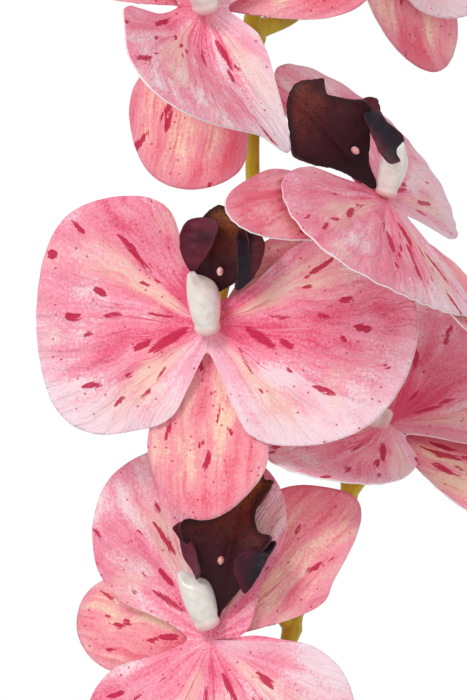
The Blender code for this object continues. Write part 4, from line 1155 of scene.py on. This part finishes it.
def inner_radius(z):
    """The pot's inner radius at a height."""
    return POT_R_BASE + (POT_R_TOP - POT_R_BASE) * z / POT_H - POT_WALL


def rounded(points, count):
    """A smooth run of profile points."""
    return [tuple(p) for p in smooth_line(points, count)]


def pot_profile():
    """Half of the pot's section: foot, bead, flared wall, rolled lip, inner wall and floor."""
    base, top, high = POT_R_BASE, POT_R_TOP, POT_H
    foot = rounded([(base - 3, 0), (base - 1.0, 0.5), (base + 0.1, 2.0)], 8)
    bead = [(base + 0.9, 8), (base + 0.6, 9.2), (base + 1.2, 10.4)]
    wall = [(base + (top - base) * t, high * t) for t in (0.15, 0.3, 0.45, 0.6, 0.75, 0.9)]
    lip = rounded([(top - 0.4, high - 6), (top, high - 3.5), (top - 0.2, high - 1.2), (top - 2.4, high),
                   (top - 4.4, high - 1), (top - 5.1, high - 3.5), (inner_radius(112), 112)], 24)
    within = [(inner_radius(z), z) for z in (100, 60, 20)]
    corner = rounded([(inner_radius(12), 12), (inner_radius(8) - 1, POT_FLOOR + 1.4),
                      (inner_radius(7) - 5, POT_FLOOR)], 8)
    return [(0, 0), (base - 4, 0)] + foot + bead + wall + lip + within + corner + [(0, POT_FLOOR)]


BARK_PROFILE = [(0, POT_FLOOR + 0.4), (inner_radius(8) - 7, POT_FLOOR + 0.4), (inner_radius(14) - 1, 14),
                (inner_radius(104) - 0.8, 104), (inner_radius(105) - 3, 105.4), (40, 105.0), (20, 105.6), (0, 106.0)]
POT_SIDES, BARK_SIDES = 144, 96
lathe("pot_body", pot_profile(), POT_SIDES, [GLAZE], "pot")
lathe("bark_bed", BARK_PROFILE, BARK_SIDES, [BARK_DARK], "bark")


def chip_mesh(seed):
    """One bark chip: a broken slab with a torn outline."""
    rng = random.Random(seed)
    sides = 7
    outline = [(math.cos(b) * (5.2 + rng.uniform(-1.4, 1.6)), math.sin(b) * (3.4 + rng.uniform(-0.8, 0.9)))
               for b in [2 * math.pi * j / sides for j in range(sides)]]
    points = [(x, y, 1.2 + rng.uniform(-0.5, 0.5)) for x, y in outline]
    points += [(x * 1.06, y * 1.06, -1.0 + rng.uniform(-0.4, 0.4)) for x, y in outline]
    points += [(0.4, 0.2, 1.9), (0, 0, -1.4)]
    faces = [(j, (j + 1) % sides, 2 * sides) for j in range(sides)]
    faces += [(sides + (j + 1) % sides, sides + j, 2 * sides + 1) for j in range(sides)]
    faces += [(j, sides + j, sides + (j + 1) % sides, (j + 1) % sides) for j in range(sides)]
    return put_mesh(f"chip_{seed}", points, faces, [BARK_SKIN])


def scatter_tree(chips):
    """Bark chips strewn over a bed, with named inputs for their number, seed and finish; their size is set inside."""
    tree = bpy.data.node_groups.new("strewn_bark", "GeometryNodeTree")
    socket(tree, "INPUT", "Bed", "NodeSocketGeometry")
    socket(tree, "INPUT", "Chips per square metre", "NodeSocketFloat", CHIPS_PER_SQUARE_METRE)
    socket(tree, "INPUT", "Seed", "NodeSocketInt", CHIP_SEED)
    socket(tree, "INPUT", "Bark", "NodeSocketMaterial")
    socket(tree, "OUTPUT", "Layer", "NodeSocketGeometry")
    new, link = tree.nodes.new, tree.links.new
    given, out = new("NodeGroupInput"), new("NodeGroupOutput")
    strew, place = new("GeometryNodeDistributePointsOnFaces"), new("GeometryNodeInstanceOnPoints")
    turn_by, size, pick = (new("FunctionNodeRandomValue") for _ in range(3))
    real, paint = new("GeometryNodeRealizeInstances"), new("GeometryNodeSetMaterial")
    link(given.outputs["Bed"], strew.inputs["Mesh"])
    link(given.outputs["Chips per square metre"], strew.inputs["Density"])
    link(given.outputs["Seed"], strew.inputs["Seed"])
    kinds = new("GeometryNodeJoinGeometry")
    for chip in chips:
        info = new("GeometryNodeObjectInfo")
        info.inputs["Object"].default_value = chip
        info.inputs["As Instance"].default_value = True
        link(info.outputs["Geometry"], kinds.inputs["Geometry"])
    link(strew.outputs["Points"], place.inputs["Points"])
    link(kinds.outputs["Geometry"], place.inputs["Instance"])
    place.inputs["Pick Instance"].default_value = True
    pick.data_type = "INT"
    pick.inputs["Min"].default_value, pick.inputs["Max"].default_value = 0, len(chips) - 1
    pick.inputs["Seed"].default_value = 3
    link(pick.outputs[2], place.inputs["Instance Index"])
    turn_by.data_type = "FLOAT_VECTOR"
    turn_by.inputs[0].default_value = (-CHIP_TILT, -CHIP_TILT, 0.0)
    turn_by.inputs[1].default_value = (CHIP_TILT, CHIP_TILT, 6.283)
    turn_by.inputs["Seed"].default_value = 11
    link(turn_by.outputs[0], place.inputs["Rotation"])
    size.data_type = "FLOAT"
    size.inputs[2].default_value, size.inputs[3].default_value = CHIP_SIZES
    size.inputs["Seed"].default_value = 7
    link(size.outputs[1], place.inputs["Scale"])
    link(place.outputs["Instances"], real.inputs["Geometry"])
    link(real.outputs["Geometry"], paint.inputs["Geometry"])
    link(given.outputs["Bark"], paint.inputs["Material"])
    link(paint.outputs["Geometry"], out.inputs["Layer"])
    return tree


chips = [chip_mesh(seed) for seed in (1, 2, 3, 4)]
BED_SIDES, BED_RINGS, bed_points = 48, ((14, 107.8), (30, 107.2), (46, 106.8), (53, 106.6)), [(0, 0, 108.0)]
for r, z in BED_RINGS:
    bed_points += [(r * math.cos(b), r * math.sin(b), z) for b in np.arange(BED_SIDES) * 2 * math.pi / BED_SIDES]
bark_chips = put_mesh("bark_chips", bed_points, fan_faces(BED_SIDES, len(BED_RINGS)), [BARK_SKIN])
strewing = bark_chips.modifiers.new("strew", "NODES")
strewing.node_group = scatter_tree(chips)
set_input(strewing, "Bark", BARK_SKIN)
bake_nodes(bark_chips)
for chip in chips:
    bpy.data.objects.remove(chip, do_unlink=True)
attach(bark_chips, "root")

# ------------------------------------------------------------------ crown and roots
CROWN_SKIN = speckled("crown_skin", dye(116, 128, 62), dye(146, 132, 84), 0.6, 120.0, 0.4)
CROWN_HEIGHTS = [(110.5, 6.0), (113, 8.4), (116, 9.6), (120, 10.2), (126, 10.4), (132, 9.8), (138, 9.0), (143, 7.6),
                 (147, 6.0), (150, 3.8), (152, 1.2)]
crown_rows = [(0, 0, z, r * (1 + 0.05 * math.sin(z * 1.9))) for z, r in CROWN_HEIGHTS]
stem_piece("crown_skin_piece", smooth_line(crown_rows, CROWN_STEPS), CROWN_SKIN, "crown", 32)
ROOT_SKIN = speckled("root_velamen", dye(170, 178, 158), dye(128, 144, 112), 0.75, 150.0, 0.5,
                     (dye(204, 208, 194), 700.0, 0.4))
for k, (azimuth, scale, thick) in enumerate(ROOTS):
    c, s = math.cos(math.radians(azimuth)), math.sin(math.radians(azimuth))
    way = [(r * c, r * s, z, thick) for r, z in ROOT_RISE[:-1]]
    r, z = ROOT_RISE[-1]
    rows = smooth_line(way + [(r * c, r * s, z * scale, thick * 0.5)], ROOT_STEPS)
    rows[:, 3] *= 1 + 0.05 * np.sin(np.arange(ROOT_STEPS) * 0.55 + k)
    stem_piece(f"root_{k + 1}_skin", rows, ROOT_SKIN, f"root_{k + 1}", 20)

for k, (foot, aim, length, radius) in enumerate(BUDS):
    bud_piece(k + 1, foot, aim, length, radius)
LEAF_SKIN = leaf_finish("leaf_skin", (52, 88, 40), (112, 104, 84))
YOUNG_LEAF = leaf_finish("young_leaf_skin", (84, 124, 52), (120, 138, 84))
for k, row in enumerate(LEAVES):
    leaf_piece(k + 1, *row, YOUNG_LEAF if k + 1 == YOUNGEST_LEAF else LEAF_SKIN)

# ------------------------------------------------------------------ blooms
coarse = 1.0
for number, (key, bloom) in enumerate(BLOOMS.items()):
    rng = random.Random(100 + number)
    for kind, sizes in (("petals", PETAL_MESH), ("sepals", SEPAL_MESH)):
        around, rings = sizes[key in NEAR_BLOOMS]
        bloom_sheet(key, kind, bloom, int(around * coarse), int(rings * coarse), rng)
    lip_piece(key, bloom, rng)
    column_piece(key, bloom)
    stem_piece(f"pedicel_{key}_skin", pedicel_rows(bloom), STEM_SKIN, f"pedicel_{key}", 18)

# ------------------------------------------------------------------ floor, light and camera
FLOOR_R, FLOOR_SIDES, FLOOR_Z = 1500, 96, -0.4
FLOOR = Finish("floor_paper", rough=0.9)
FLOOR.paint(FLOOR.blend(FLOOR.step(FLOOR.grain(FLOOR.place(), 3.0), 0.3, 0.7), dye(246, 246, 245), dye(243, 243, 242)))
floor_rim = [(FLOOR_R * math.cos(b), FLOOR_R * math.sin(b), FLOOR_Z)
             for b in np.arange(FLOOR_SIDES) * 2 * math.pi / FLOOR_SIDES]
floor = put_mesh("floor", floor_rim, [tuple(range(FLOOR_SIDES))], [FLOOR.material])

world = bpy.data.worlds.new("studio")
world.use_nodes = True
bpy.context.scene.world = world
glow, wall = world.node_tree.nodes["Background"], world.node_tree.nodes.new("ShaderNodeBackground")
choose, path = world.node_tree.nodes.new("ShaderNodeMixShader"), world.node_tree.nodes.new("ShaderNodeLightPath")
for shader, strength in ((glow, 0.74), (wall, 1.0)):
    shader.inputs["Color"].default_value, shader.inputs["Strength"].default_value = (1.0, 1.0, 1.0, 1), strength
for start, end in ((path.outputs["Is Camera Ray"], choose.inputs[0]), (glow.outputs[0], choose.inputs[1]),
                   (wall.outputs[0], choose.inputs[2]),
                   (choose.outputs[0], world.node_tree.nodes["World Output"].inputs["Surface"])):
    world.node_tree.links.new(start, end)
bpy.context.scene.view_settings.view_transform = "Standard"


def soft_light(name, at, aim, size, power):
    """A round lamp turned towards a point."""
    light = bpy.data.lights.new(name, "AREA")
    light.shape, light.size, light.energy = "DISK", size, power
    obj = bpy.data.objects.new(name, light)
    bpy.context.scene.collection.objects.link(obj)
    obj.location = at
    obj.rotation_mode = "QUATERNION"
    obj.rotation_quaternion = (Vector(aim) - Vector(at)).to_track_quat("-Z", "Y")


soft_light("key", (-0.55, -1.3, 1.35), (0.18, 0.0, 0.42), 0.5, 11.5)

SENSOR, VIEW_HEIGHT = 36.0, 700 / 3820  # the height in view, in metres, at the middle bloom
camera = bpy.data.cameras.new("camera")
camera.sensor_width = SENSOR
camera.lens = SENSOR * -EYE[1] * MM / VIEW_HEIGHT
camera.clip_start, camera.clip_end = 0.01, 50
camera_object = bpy.data.objects.new("camera", camera)
camera_object.location = [v * MM for v in EYE]
camera_object.rotation_euler = (math.radians(90), 0, 0)
bpy.context.scene.collection.objects.link(camera_object)
bpy.context.scene.camera = camera_object

# ------------------------------------------------------------------ last update
bpy.context.view_layer.update()
